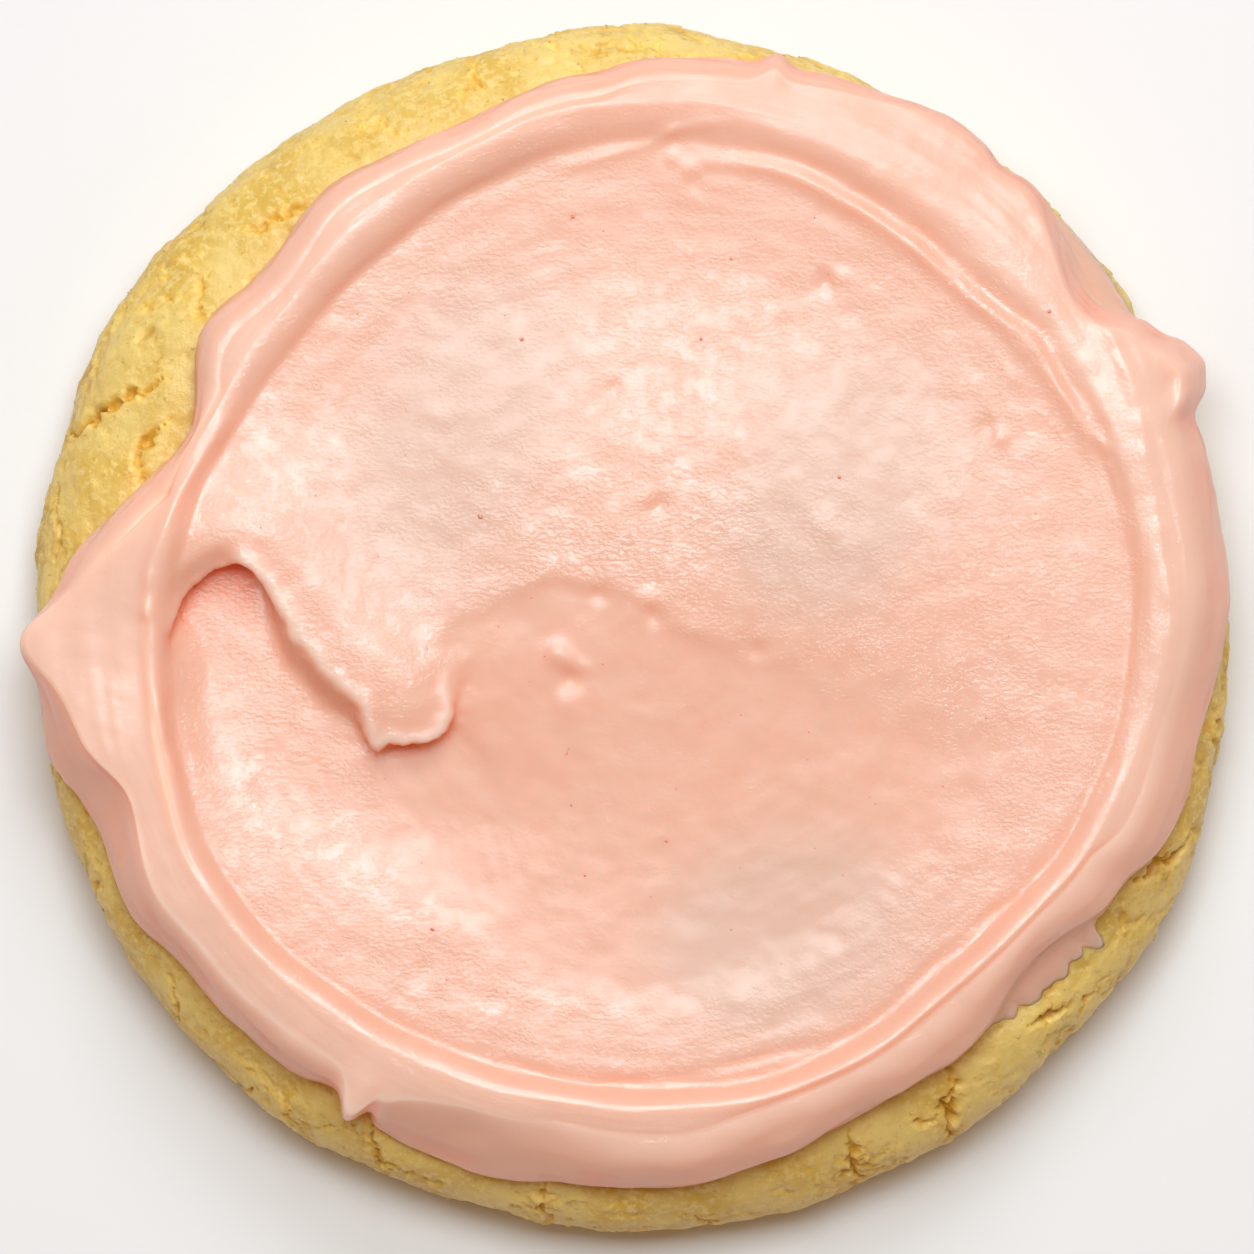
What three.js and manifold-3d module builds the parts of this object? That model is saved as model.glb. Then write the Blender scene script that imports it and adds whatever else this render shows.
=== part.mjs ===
// A large frosted sugar cookie: a thick round biscuit with a cracked rim, and pink frosting spread
// over it with a palette knife as it turned, so that the frosting has a raised rim round a shallow dish.
// Millimetres, +Z up, origin at the middle of the biscuit's flat base. Bearings are in degrees,
// anticlockwise from +X as seen from above, and a reach is a distance from the biscuit's middle.
import * as THREE from "three";
import { mergeVertices } from "three/addons/utils/BufferGeometryUtils.js";
import Module from "manifold-3d";

const wasm = await Module();
wasm.setup();
const { degToRad, lerp, smoothstep, clamp } = THREE.MathUtils;

// ---------------------------------------------------------------- driving sizes

const biscuitRadius = 54.5; // at the belly, its widest place
const biscuitHeight = 15; // at the crown, under the frosting
const crownFall = 0.8; // how much lower the crown is where the shoulder starts
const shoulderReach = 40; // where the flat crown turns into the shoulder
const bellyHeight = 5.5;
const footTuck = 2.4; // how far the foot stands in under the belly
const shoulderFullness = 2.3; // 2 is a plain ellipse, more is squarer

const frostingGap = 0.3; // between the biscuit and the frosting that lies on it
const dishHeight = 18.2; // the frosting's surface in the shallow dish, above the table
const dishRadius = 42.9; // the palette knife's circle
const dishMiddle = [2.0, 1.75]; // that circle's middle, off the biscuit's
const bankWidth = 2.6; // from the dish's edge to the crest of the rim
const bankRise = 0.9; // the crest above the dish
const wallWidth = 3.0; // from the rim's outer shoulder to the frosting's outline
const wallTuck = 0.9; // how far the frosting's foot stands in under its outline
const edgeKept = 0.9; // the least biscuit left outside the frosting's foot

// ---------------------------------------------------------------- shapes that change round the cookie

// The sum of smooth swells at a bearing. A swell is [bearing, spread in degrees, rise in mm].
function swell(bearing, swells) {
  return swells.reduce((sum, [middle, spread, rise]) => {
    const turn = ((bearing - middle + 540) % 360) - 180;
    return sum + rise * Math.exp(-0.5 * (turn / spread) ** 2);
  }, 0);
}

// The frosting's outline. It lies a little to the right of the biscuit's middle.
const outlineRadius = 50.6;
const outlineShift = 1.9;
const outlineSwells = [
  [50, 22, 2.4], // spread past the biscuit's edge
  [7, 15, 1.2], // the same on the right
  [36.5, 5, -3.4], // only a thin smear there
  [19, 3, 0.4],
  [22.4, 1, 1.3], // blunt lobe pushed off by the knife
  [24.6, 1.3, 2.6],
  [27.2, 1.3, 2.0],
  [30.6, 1.5, 1.5],
  [75.5, 1, 1.2], // small lump
  [93, 2, -0.5],
  [112, 9, -2.4],
  [135.5, 6, -3.1],
  [156.3, 7.1, -5.3], // the bared shoulder
  [174, 2.8, 1.1],
  [187, 8, 4.6], // lobe that hangs over on the left
  [181, 2.4, 2.6], // its point
  [193.5, 2.5, 1.0],
  [208.5, 4.5, 2.0],
  [215, 16, 1.0],
  [237, 1.5, -0.5],
  [239.9, 1, 1.4], // drawn-out tip
  [247.5, 5, 0.6],
  [256.5, 3, 0.6],
  [270, 5, 0.4],
  [304, 17, -3.25], // bared shoulder, lower right
  [321.5, 6, -3.0],
  [333, 2.2, -1.2],
  [349, 6, -0.6],
];

const outline = (bearing) =>
  outlineRadius +
  outlineShift * Math.cos(degToRad(bearing)) +
  swell(bearing, outlineSwells);

const dishEdge = (bearing) =>
  dishRadius +
  dishMiddle[0] * Math.cos(degToRad(bearing)) +
  dishMiddle[1] * Math.sin(degToRad(bearing)) +
  swell(bearing, [
    [52, 20, -3.0], // a second, inner lip
    [132, 24, -3.6],
    [215, 18, 2.2],
    [318, 12, -1.6],
  ]);

const crest = (bearing) =>
  dishEdge(bearing) +
  bankWidth +
  swell(bearing, [
    [190, 40, -0.6],
    [300, 35, -0.7],
    [105, 30, 1.3],
  ]);

// The rim's outer shoulder, where the top turns down into the frosting's wall.
const wallSwells = [
  [300, 40, 2.0], // fat round roll
  [57, 14, -2.1],
  [38, 6, -0.6],
  [110, 20, -0.9],
  [181, 4.2, -2.9], // sharp edge of the left lobe
  [196, 4.5, 1.1],
  [218, 6, -0.8],
  [230, 6, -0.5],
  [240, 2.6, -3.0], // and of the drawn-out tip
  [257, 9, 1.6],
];

const leastRim = 0.5;
const shoulder = (bearing) =>
  Math.max(
    outline(bearing) - wallWidth - swell(bearing, wallSwells),
    crest(bearing) + leastRim,
  );

// 1 draws the wall as a quarter ellipse, more draws it towards a straight bevel under a sharp brow.
const wallStraightness = (bearing) =>
  0.95 +
  swell(bearing, [
    [200, 16, 0.8],
    [251, 9, 0.9],
    [2, 20, 0.45],
    [38, 8, 0.6],
  ]);

// ---------------------------------------------------------------- the biscuit's form

const bellySwells = [
  [30, 32, -0.5],
  [88, 7, 1.1],
  [122, 18, -0.4],
  [152, 6, 0.7],
  [219, 8, 0.5],
  [290, 10, 0.6],
  [330, 13, 0.8],
  [346, 9, 0.5],
];

const belly = (bearing) =>
  biscuitRadius +
  swell(bearing, bellySwells) +
  0.25 * Math.sin(degToRad(3 * bearing + 40)) +
  0.15 * Math.sin(degToRad(11 * bearing)) -
  0.2 * Math.abs(Math.sin(degToRad(7.5 * bearing + 20)));

// The biscuit's upper surface at a reach.
function biscuitTop(reach, bearing) {
  const out = clamp(
    (reach - shoulderReach) / (belly(bearing) - shoulderReach),
    0,
    1,
  );
  const flank = (1 - out ** shoulderFullness) ** (1 / shoulderFullness);
  const crown = biscuitHeight - crownFall * (reach / shoulderReach) ** 2;
  const rim = biscuitHeight - crownFall - bellyHeight;
  return reach < shoulderReach ? crown : bellyHeight + rim * flank;
}

// ---------------------------------------------------------------- the frosting's form

const at = (bearing, reach, height) => [
  reach * Math.cos(degToRad(bearing)),
  reach * Math.sin(degToRad(bearing)),
  height,
];

// A soft oval rise or hollow: [x, y, spread along x, spread along y, rise].
const dishReliefs = [
  [2, 8.5, 20, 12, 1.2], // the mound over the biscuit's crown
  [2, -23, 18, 12, -0.8], // the bowl that the last stroke wiped into it
  [24, 24, 9, 9, -0.3],
];
const lobeRelief = [-47.5, -13, 5.5, 8, 0.6]; // the left lobe rises towards its brow

const relief = (x, y, [cx, cy, spreadX, spreadY, rise]) =>
  rise * Math.exp(-0.5 * (((x - cx) / spreadX) ** 2 + ((y - cy) / spreadY) ** 2));

// The dish climbs a little towards its bank on the far side.
const farClimb = 0.45;
const farClimbReach = [29, 42];
const farClimbY = [12, 30];

function dish(x, y) {
  const turned = Math.hypot(x - dishMiddle[0], y - dishMiddle[1]);
  const farSide =
    farClimb * smoothstep(turned, ...farClimbReach) * smoothstep(y, ...farClimbY);
  return dishReliefs.reduce((sum, oval) => sum + relief(x, y, oval), dishHeight + farSide);
}

// The flap that the knife pulled up as it lifted, along its middle: [x, y, rise].
const flapMiddle = [
  [-45.0, -4.0, 0.0],
  [-44.0, 0.0, 0.3],
  [-42.6, 4.2, 0.9],
  [-40.0, 7.3, 1.6],
  [-36.6, 8.6, 1.9],
  [-33.4, 8.0, 1.9],
  [-30.6, 5.4, 1.7],
  [-28.0, 1.9, 1.7],
  [-25.2, -1.4, 1.8],
  [-22.2, -4.4, 1.9],
  [-19.6, -7.2, 1.8],
  [-18.6, -10.0, 1.4],
];
const flapSpread = 5;
const flapRun = 6;
const flapEnds = [8, 16]; // where the run-out fades to nothing

// The flap is level towards the stroke's edge and runs out gently on its other side.
function flapRise(x, y) {
  let best = Infinity;
  let rise = 0;
  let towardsStroke = true;
  for (let k = 0; k + 1 < flapMiddle.length; k += 1) {
    const [ax, ay, low] = flapMiddle[k];
    const [bx, by, high] = flapMiddle[k + 1];
    const span = (bx - ax) ** 2 + (by - ay) ** 2;
    const t = clamp(((x - ax) * (bx - ax) + (y - ay) * (by - ay)) / span, 0, 1);
    const awayX = x - lerp(ax, bx, t);
    const awayY = y - lerp(ay, by, t);
    const away = Math.hypot(awayX, awayY);
    if (away < best) {
      best = away;
      rise = lerp(low, high, t);
      towardsStroke = awayX * (by - ay) - awayY * (bx - ax) > 0;
    }
  }
  if (towardsStroke) return rise / (1 + (best / flapSpread) ** 4);
  return (rise * (1 - smoothstep(best, ...flapEnds))) / (1 + (best / flapRun) ** 2) ** 1.5;
}

const crestHeight = (bearing) =>
  dishHeight +
  bankRise +
  swell(bearing, [
    [118, 26, 1.0], // the tall ridge, upper left
    [5, 30, -0.2],
    [187, 16, 0.3],
    [265, 30, 0.2],
  ]);

// The rim sinks as it spreads outwards from its crest.
const crestRound = 0.4;
const rimFall = 0.11;
const shoulderHeight = (bearing) =>
  crestHeight(bearing) -
  crestRound -
  rimFall * (shoulder(bearing) - crest(bearing));

// The frosting's top, out to the rim's shoulder, before the last stroke is cut.
function frostingTop(bearing, reach) {
  const [x, y] = at(bearing, reach, 0);
  const edge = dishEdge(bearing);
  const top = crest(bearing);
  const out = shoulder(bearing);
  const lip = swell(bearing, [[50, 18, 0.35]]) - swell(bearing, [[285, 40, 0.2]]);
  const lipWidth = 0.8;
  const lipped = lip * Math.exp(-(((reach - edge) / lipWidth) ** 2));
  const raised = flapRise(x, y);
  if (reach <= edge) return dish(x, y) + raised + lipped;
  if (reach <= top) {
    const climb = (reach - edge) / (top - edge);
    const bank = 1 - (1 - climb) ** 2;
    return lerp(dish(x, y), crestHeight(bearing), bank) + raised + lipped;
  }
  const pinch = swell(bearing, [[180, 22, 0.5]]); // the thin crest on the left
  const pinchWidth = 0.9;
  const beyond = (reach - top) / (out - top);
  const fallen = pinch * (1 - Math.exp(-(((reach - top) / pinchWidth) ** 2)));
  return (
    lerp(crestHeight(bearing), shoulderHeight(bearing), beyond ** 1.5) +
    (raised - fallen) * (1 - beyond) +
    relief(x, y, lobeRelief)
  );
}

// The reach of the frosting's foot, where it meets the biscuit. Where the knife dragged the
// frosting over the flank, a thin film runs out past the wall.
const filmSwells = [
  [36.5, 6.5, 4.4],
  [320.5, 5.5, 4.2],
];
const filmThickness = 0.45;
const footReach = (bearing) =>
  Math.min(
    outline(bearing) - wallTuck + swell(bearing, filmSwells),
    belly(bearing) - edgeKept,
  );

// ---------------------------------------------------------------- closed bodies from rings

// Joins two rings of points, which may differ in number, with triangles that face up or out.
function stitch(a, b, firstA, firstB, triangles) {
  let i = 0;
  let j = 0;
  while (i < a || j < b) {
    const stepB = i === a || (j < b && (j + 1) * a <= (i + 1) * b);
    const here = [firstA + (i % a), firstB + (j % b)];
    triangles.push(...here, stepB ? firstB + ((j + 1) % b) : firstA + ((i + 1) % a));
    if (stepB) j += 1;
    else i += 1;
  }
}

// A closed body from rings of points, from a single point on top to a single point underneath.
function ringBody(rings) {
  const triangles = [];
  let first = 0;
  for (let k = 0; k + 1 < rings.length; k += 1) {
    const next = first + rings[k].length;
    stitch(rings[k].length, rings[k + 1].length, first, next, triangles);
    first = next;
  }
  const kept = [];
  for (let k = 0; k < triangles.length; k += 3) {
    const [a, b, c] = triangles.slice(k, k + 3);
    if (a !== b && b !== c && c !== a) kept.push(a, b, c);
  }
  return bodyOf(rings.flat(), kept);
}

function bodyOf(points, triangles) {
  const geometry = new THREE.BufferGeometry();
  geometry.setAttribute(
    "position",
    new THREE.Float32BufferAttribute(points.flat(), 3),
  );
  geometry.setIndex(triangles);
  return solid(geometry);
}

function solid(geometry) {
  const merged = mergeVertices(geometry, 1e-4);
  return new wasm.Manifold(
    new wasm.Mesh({
      numProp: 3,
      vertProperties: merged.attributes.position.array,
      triVerts: new Uint32Array(merged.index.array),
    }),
  );
}

// Cutting leaves some edges too short to matter. Their ends become one point.
const shortestEdge = 0.05;

function geometryOf(body) {
  const { vertProperties, triVerts } = body.getMesh();
  const points = new THREE.BufferAttribute(vertProperties, 3);
  const place = (k) => new THREE.Vector3().fromBufferAttribute(points, k);
  const stands = Array.from({ length: points.count }, (_, k) => k);
  const standIn = (k) => (stands[k] === k ? k : standIn(stands[k]));
  for (let k = 0; k < triVerts.length; k += 1) {
    const a = standIn(triVerts[k]);
    const b = standIn(triVerts[k % 3 === 2 ? k - 2 : k + 1]);
    if (a !== b && place(a).distanceTo(place(b)) < shortestEdge) stands[b] = a;
  }
  const triangles = [];
  for (let k = 0; k < triVerts.length; k += 3) {
    const [a, b, c] = Array.from(triVerts.slice(k, k + 3), standIn);
    if (a !== b && b !== c && c !== a) triangles.push(a, b, c);
  }
  const geometry = new THREE.BufferGeometry();
  geometry.setAttribute("position", points);
  geometry.setIndex(triangles);
  geometry.computeVertexNormals();
  return geometry;
}

// One ring of points, evenly spaced by bearing. place gives a point for a bearing.
const ring = (count, place) =>
  Array.from({ length: count }, (_, k) => place((k * 360) / count));

// ---------------------------------------------------------------- the biscuit

// Low lumps of the crumbly flank. They only dent, so that the frosting keeps its gap.
function dent(bearing, rise) {
  const lumps =
    Math.sin(degToRad(17 * bearing + 130 * rise)) *
    Math.sin(degToRad(9 * bearing - 210 * rise));
  return 0.45 * Math.abs(lumps) + 0.25 * Math.abs(Math.sin(degToRad(31 * bearing)));
}

function biscuitBody() {
  const crownRings = 5;
  const flankRings = 11;
  const footRings = 3;
  const columns = 120;
  const rings = [[at(0, 0, biscuitTop(0, 0))]];
  for (let k = 1; k <= crownRings; k += 1) {
    const reach = (shoulderReach * k) / crownRings;
    rings.push(ring(k < crownRings ? 9 * k : 60, (b) => at(b, reach, biscuitTop(reach, b))));
  }
  for (let k = 1; k <= flankRings; k += 1) {
    const turn = degToRad((90 * k) / flankRings);
    rings.push(
      ring(columns, (b) => {
        const out = Math.sin(turn) ** (2 / shoulderFullness);
        const reach = lerp(shoulderReach, belly(b), out);
        const bare = smoothstep(reach, footReach(b), footReach(b) + 1.5);
        return at(b, reach - bare * dent(b, k / flankRings), biscuitTop(reach, b));
      }),
    );
  }
  for (let k = 1; k <= footRings; k += 1) {
    const turn = degToRad((90 * k) / footRings);
    rings.push(
      ring(columns, (b) =>
        at(
          b,
          belly(b) - footTuck * (1 - Math.cos(turn)) - dent(b, 1 + k / footRings) * (1 - k / footRings),
          bellyHeight * (1 - Math.sin(turn)),
        ),
      ),
    );
  }
  rings.push(ring(24, (b) => at(b, shoulderReach / 2, 0)), [at(0, 0, 0)]);
  return ringBody(rings);
}

// The cracks that show beside the frosting: from and to are [bearing, reach], deepest in the middle.
const cracks = [
  { from: [152.5, 48.6], to: [160.9, 53.4], width: 1.5, depth: 1.9 },
  { from: [156, 45.9], to: [163.4, 46.4], width: 1.3, depth: 1.6 },
  { from: [141, 49.4], to: [146, 52.6], width: 1.1, depth: 1.3 },
  { from: [127.4, 48.6], to: [134.4, 52.9], width: 1.0, depth: 1.3 },
  { from: [105.6, 50.1], to: [106.6, 53.4], width: 1.2, depth: 1.3 },
  { from: [97.2, 50.6], to: [98.2, 53.6], width: 1.0, depth: 1.0 },
  { from: [262.8, 50.6], to: [261.8, 53.6], width: 1.3, depth: 1.3 },
  { from: [241.6, 49.8], to: [246, 53.2], width: 1.3, depth: 1.4 },
  { from: [216.5, 51.4], to: [222, 53.3], width: 1.0, depth: 1.0 },
  { from: [293.6, 48.6], to: [291.8, 53.6], width: 1.4, depth: 1.5 },
  { from: [307, 48.4], to: [303.6, 53.6], width: 1.7, depth: 1.8 },
  { from: [314.5, 51.2], to: [322, 53.1], width: 1.2, depth: 1.5 },
  { from: [333, 50.2], to: [339.4, 53.6], width: 1.3, depth: 1.6 },
];

// A jagged wedge that cuts one crack: three points at each step along it, and one at each end.
function crackCutter({ from, to, width, depth }) {
  const steps = 7;
  const jag = 0.45;
  const lift = 1.2;
  const tilt = degToRad(40); // the wedge's way into the flank, below level
  const points = [];
  for (let k = 0; k <= steps; k += 1) {
    const along = k / steps;
    const bearing = lerp(from[0], to[0], along);
    const reach = lerp(from[1], to[1], along);
    const surface = new THREE.Vector3(...at(bearing, reach, biscuitTop(reach, bearing)));
    const out = new THREE.Vector3(...at(bearing, Math.cos(tilt), Math.sin(tilt)));
    const [x0, y0] = at(from[0], from[1], 0);
    const [x1, y1] = at(to[0], to[1], 0);
    const side = new THREE.Vector3(y0 - y1, x1 - x0, 0).normalize();
    const wander = side.clone().multiplyScalar(jag * (k % 2 ? 1 : -1));
    const middle = surface.add(wander);
    const swelling = Math.sin(Math.PI * along);
    const half = side.clone().multiplyScalar((width * (0.35 + swelling)) / 2);
    const over = middle.clone().addScaledVector(out, lift);
    if (k === 0 || k === steps) points.push(over.toArray());
    else
      points.push(
        over.clone().add(half).toArray(),
        over.clone().sub(half).toArray(),
        middle.clone().addScaledVector(out, -depth * swelling).toArray(),
      );
  }
  const triangles = [];
  const last = points.length - 1;
  for (let k = 0; k < 3; k += 1) {
    const next = (k + 1) % 3;
    triangles.push(0, 1 + next, 1 + k);
    for (let row = 1; row + 3 < last; row += 3)
      triangles.push(row + k, row + next, row + 3 + next, row + k, row + 3 + next, row + 3 + k);
    triangles.push(last, last - 3 + k, last - 3 + next);
  }
  return bodyOf(points, triangles);
}

// ---------------------------------------------------------------- the frosting

// The edge left where the knife lifted: it arches over the stroke's start, runs down the flap's
// side, rounds its tip and fades into the dish. Each stop is [x, y, depth, lean of the wall]: the
// depth is the stroke's floor below the dish, and a positive lean is undercut.
const strokeEdge = [
  [-42.0, -2.2, 0.4, 0],
  [-41.3, 0.6, 1.2, -0.9],
  [-38.6, 3.8, 1.8, -0.8],
  [-36.2, 5.3, 1.9, 0.3],
  [-33.6, 4.8, 1.9, 0.7],
  [-31.1, 0.6, 1.8, 0.2],
  [-29.4, -2.6, 1.6, -0.6],
  [-25.2, -7.8, 1.4, -0.9],
  [-23.4, -10.6, 1.3, -0.1],
  [-21.8, -10.6, 1.2, -0.1],
  [-18.5, -10.4, 1.0, -0.1],
  [-16.2, -8.6, 0.8, -0.2],
  [-15.3, -5.0, 0.6, -0.6],
  [-12.8, 0.4, 0.4, -0.8],
];
const strokeReach = 13; // how far the stroke's floor takes to rise to the dish again
// The far side of the stroke, from the arch's left leg round to the end of the edge.
const strokeFar = [
  [-42.6, -4.0],
  [-41.6, -8.0],
  [-39.0, -14.5],
  [-33.5, -20.0],
  [-25.5, -23.2],
  [-16.5, -22.0],
  [-8.0, -15.0],
  [-5.5, -6.0],
];

const spline = (stops) =>
  new THREE.CatmullRomCurve3(stops.map(([x, y]) => new THREE.Vector3(x, y, 0)));

function bearingReach(x, y) {
  return [(THREE.MathUtils.radToDeg(Math.atan2(y, x)) + 360) % 360, Math.hypot(x, y)];
}

// The last stroke's hollow, as a closed cutter: its floor, the leaning wall under the edge, and a lid.
function strokeCutter() {
  const along = 34;
  const across = 6;
  const lid = 30;
  const edge = spline(strokeEdge);
  const far = spline(strokeFar);
  const floor = [];
  const top = [];
  for (let i = 0; i <= along; i += 1) {
    const s = i / along;
    const here = edge.getPoint(s);
    const there = far.getPoint(s);
    const stop = s * (strokeEdge.length - 1);
    const low = strokeEdge[Math.floor(stop)];
    const high = strokeEdge[Math.ceil(stop)];
    const depth = lerp(low[2], high[2], stop % 1);
    const lean = lerp(low[3], high[3], stop % 1);
    const away = there.clone().sub(here);
    const length = away.length();
    away.normalize();
    const start = here.clone().addScaledVector(away, -lean);
    for (let j = 0; j <= across; j += 1) {
      const t = (j / across) ** 1.3;
      const foot = start.clone().lerp(there, t);
      const plain = frostingTop(...bearingReach(foot.x, foot.y)) - flapRise(foot.x, foot.y);
      const part = clamp(Math.max(here.distanceTo(foot), t * length) / strokeReach, 0, 1);
      const emerge = 0.35 * smoothstep(t, 0.55, 1);
      floor.push([foot.x, foot.y, plain - depth * (1 - part * part) ** 2 + emerge]);
      const over = here.clone().lerp(there, t);
      top.push([over.x, over.y, j ? lid : frostingTop(...bearingReach(here.x, here.y)) + 0.05]);
    }
  }
  return sheetBody(floor, top, along, across);
}

// A closed body between two sheets of (along + 1) x (across + 1) points.
function sheetBody(floor, top, along, across) {
  const row = across + 1;
  const upper = floor.length;
  const triangles = [];
  const quad = (a, b, c, d) => triangles.push(a, c, b, a, d, c);
  for (let i = 0; i < along; i += 1) {
    for (let j = 0; j < across; j += 1) {
      const a = i * row + j;
      quad(a, a + 1, a + row + 1, a + row);
      quad(upper + a, upper + a + row, upper + a + row + 1, upper + a + 1);
    }
    quad(i * row, i * row + row, upper + i * row + row, upper + i * row);
    const b = i * row + across;
    quad(b, upper + b, upper + b + row, b + row);
  }
  for (let j = 0; j < across; j += 1) {
    quad(j, upper + j, upper + j + 1, j + 1);
    const b = along * row + j;
    quad(b, b + 1, upper + b + 1, upper + b);
  }
  return bodyOf([...floor, ...top], triangles);
}

function frostingBody() {
  const dishRings = 20;
  const bankRings = 3;
  const rimRings = 3;
  const wallRings = 4;
  const tuckRings = 3;
  const columns = 144;
  const rings = [[at(0, 0, frostingTop(0, 0))]];
  for (let k = 1; k <= dishRings; k += 1) {
    rings.push(
      ring(6 * k, (b) => {
        const reach = (dishEdge(b) * k) / dishRings;
        return at(b, reach, frostingTop(b, reach));
      }),
    );
  }
  const band = (count, inner, outer) => {
    for (let k = 1; k <= count; k += 1)
      rings.push(
        ring(columns, (b) => {
          const reach = lerp(inner(b), outer(b), k / count);
          return at(b, reach, frostingTop(b, reach));
        }),
      );
  };
  band(bankRings, dishEdge, crest);
  band(rimRings, crest, shoulder);
  const bellyLift = 0.3; // the wall's widest place, as a share of its height
  const bevelDrop = 0.6; // a straight bevel's widest place is lower
  const filmStart = [-0.5, 0.4]; // how far the foot stands out where a film begins
  const onBiscuit = (reach, b) => biscuitTop(reach, b) + frostingGap;
  const waist = (b) => {
    const wallFoot = Math.min(footReach(b), outline(b) - wallTuck);
    const lift = bellyLift * (1 - bevelDrop * (wallStraightness(b) - 1));
    return lerp(onBiscuit(wallFoot, b), shoulderHeight(b), lift);
  };
  for (let k = 1; k <= wallRings; k += 1) {
    const turn = degToRad((90 * k) / wallRings);
    rings.push(
      ring(columns, (b) =>
        at(
          b,
          lerp(shoulder(b), outline(b), Math.sin(turn) ** wallStraightness(b)),
          lerp(waist(b), shoulderHeight(b), Math.cos(turn) ** wallStraightness(b)),
        ),
      ),
    );
  }
  // The wall tucks in to its foot, but where there is a film it runs out over the flank instead.
  for (let k = 1; k <= tuckRings; k += 1) {
    const along = k / tuckRings;
    const turn = degToRad(90 * along);
    rings.push(
      ring(columns, (b) => {
        const foot = footReach(b);
        const spreading = smoothstep(foot - outline(b), ...filmStart);
        const reach = lerp(outline(b), foot, lerp(1 - Math.cos(turn), along, spreading));
        const tucked = lerp(waist(b), onBiscuit(foot, b), Math.sin(turn));
        const clear = waist(b) - onBiscuit(outline(b), b) - filmThickness;
        const film =
          onBiscuit(reach, b) +
          filmThickness * (1 - along ** 4) +
          clear * (1 - along) ** 3;
        return at(b, reach, lerp(tucked, film, spreading));
      }),
    );
  }
  // The underside follows the biscuit.
  const underRings = 9;
  for (let k = 1; k < underRings; k += 1) {
    const share = 1 - (k / underRings) ** 1.5;
    rings.push(
      ring(Math.max(12, Math.round(120 * share)), (b) => {
        const reach = footReach(b) * share;
        return at(b, reach, biscuitTop(reach, b) + frostingGap);
      }),
    );
  }
  rings.push([at(0, 0, biscuitHeight + frostingGap)]);
  return ringBody(rings);
}

// ---------------------------------------------------------------- assembly

const crustMaterial = new THREE.MeshStandardMaterial({
  color: 0xe3cb78,
  roughness: 0.85,
  metalness: 0,
});
const frostingMaterial = new THREE.MeshStandardMaterial({
  color: 0xf5c4ae,
  roughness: 0.4,
  metalness: 0,
});

function piece(name, body, material) {
  const mesh = new THREE.Mesh(geometryOf(body), material);
  mesh.name = name;
  return mesh;
}

const biscuit = cracks.reduce(
  (body, crack) => body.subtract(crackCutter(crack)),
  biscuitBody(),
);
const frosting = frostingBody().subtract(strokeCutter());

const cookie = new THREE.Group();
cookie.add(piece("biscuit", biscuit, crustMaterial));
cookie.add(piece("frosting", frosting, frostingMaterial));

export default cookie;
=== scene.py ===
import math

import bpy
import numpy as np
from mathutils import Euler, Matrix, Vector, noise
from mathutils.bvhtree import BVHTree


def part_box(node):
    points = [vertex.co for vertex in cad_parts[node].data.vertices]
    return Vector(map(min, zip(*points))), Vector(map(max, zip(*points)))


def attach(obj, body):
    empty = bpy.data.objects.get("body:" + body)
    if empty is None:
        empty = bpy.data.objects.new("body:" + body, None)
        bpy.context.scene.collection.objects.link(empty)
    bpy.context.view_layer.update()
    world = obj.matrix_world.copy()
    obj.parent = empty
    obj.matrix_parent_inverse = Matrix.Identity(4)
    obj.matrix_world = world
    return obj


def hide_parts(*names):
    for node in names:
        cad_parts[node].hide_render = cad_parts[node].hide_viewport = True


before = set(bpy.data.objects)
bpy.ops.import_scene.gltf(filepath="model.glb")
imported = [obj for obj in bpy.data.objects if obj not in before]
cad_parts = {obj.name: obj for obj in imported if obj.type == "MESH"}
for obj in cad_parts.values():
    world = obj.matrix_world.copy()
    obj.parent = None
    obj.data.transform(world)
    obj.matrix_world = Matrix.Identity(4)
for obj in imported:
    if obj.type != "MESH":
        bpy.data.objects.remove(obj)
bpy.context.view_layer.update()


# ------------------------------------------------------------------ the biscuit
# A thick round of pale sugar dough, baked on a flat tray: its crown stays low and smooth, its flank
# swells, dries and cracks into plates, and the foot that lay on the hot tray browns first.
# Sizes are millimetres. A bearing is in degrees, anticlockwise from +X, and a reach is a distance
# from the biscuit's middle, both as seen from above.

MM = 0.001
_, biscuit_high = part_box("biscuit")
biscuit_radius = 54.5
biscuit_height = biscuit_high.z / MM
crown_fall = 0.8
shoulder_reach = 40.0
belly_height = 5.5
foot_tuck = 2.4
shoulder_fullness = 2.3


def swell(bearing, swells):
    """The sum of smooth swells at a bearing, each (bearing, spread in degrees, rise)."""
    total = np.zeros_like(bearing, dtype=float)
    for middle, spread, rise in swells:
        turn = (bearing - middle + 540) % 360 - 180
        total += rise * np.exp(-0.5 * (turn / spread) ** 2)
    return total


def ease(value, low, high):
    """0 below low, 1 above high and smooth between them; or the other way round if low is the higher."""
    t = np.clip((value - low) / (high - low), 0, 1)
    return t * t * (3 - 2 * t)


def mix(a, b, t):
    return a + (b - a) * t


def sine(degrees):
    return np.sin(np.radians(degrees))


def cosine(degrees):
    return np.cos(np.radians(degrees))


# The belly isn't quite round: (bearing, spread in degrees, rise).
belly_swells = [
    (30, 32, -0.5), (88, 7, 1.1), (122, 18, -0.4), (152, 6, 0.7), (219, 8, 0.5), (290, 10, 0.6),
    (330, 13, 0.8), (346, 9, 0.5),
]


def belly(bearing):
    return (
        biscuit_radius
        + swell(bearing, belly_swells)
        + 0.25 * sine(3 * bearing + 40)
        + 0.15 * sine(11 * bearing)
        - 0.2 * np.abs(sine(7.5 * bearing + 20))
    )


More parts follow.
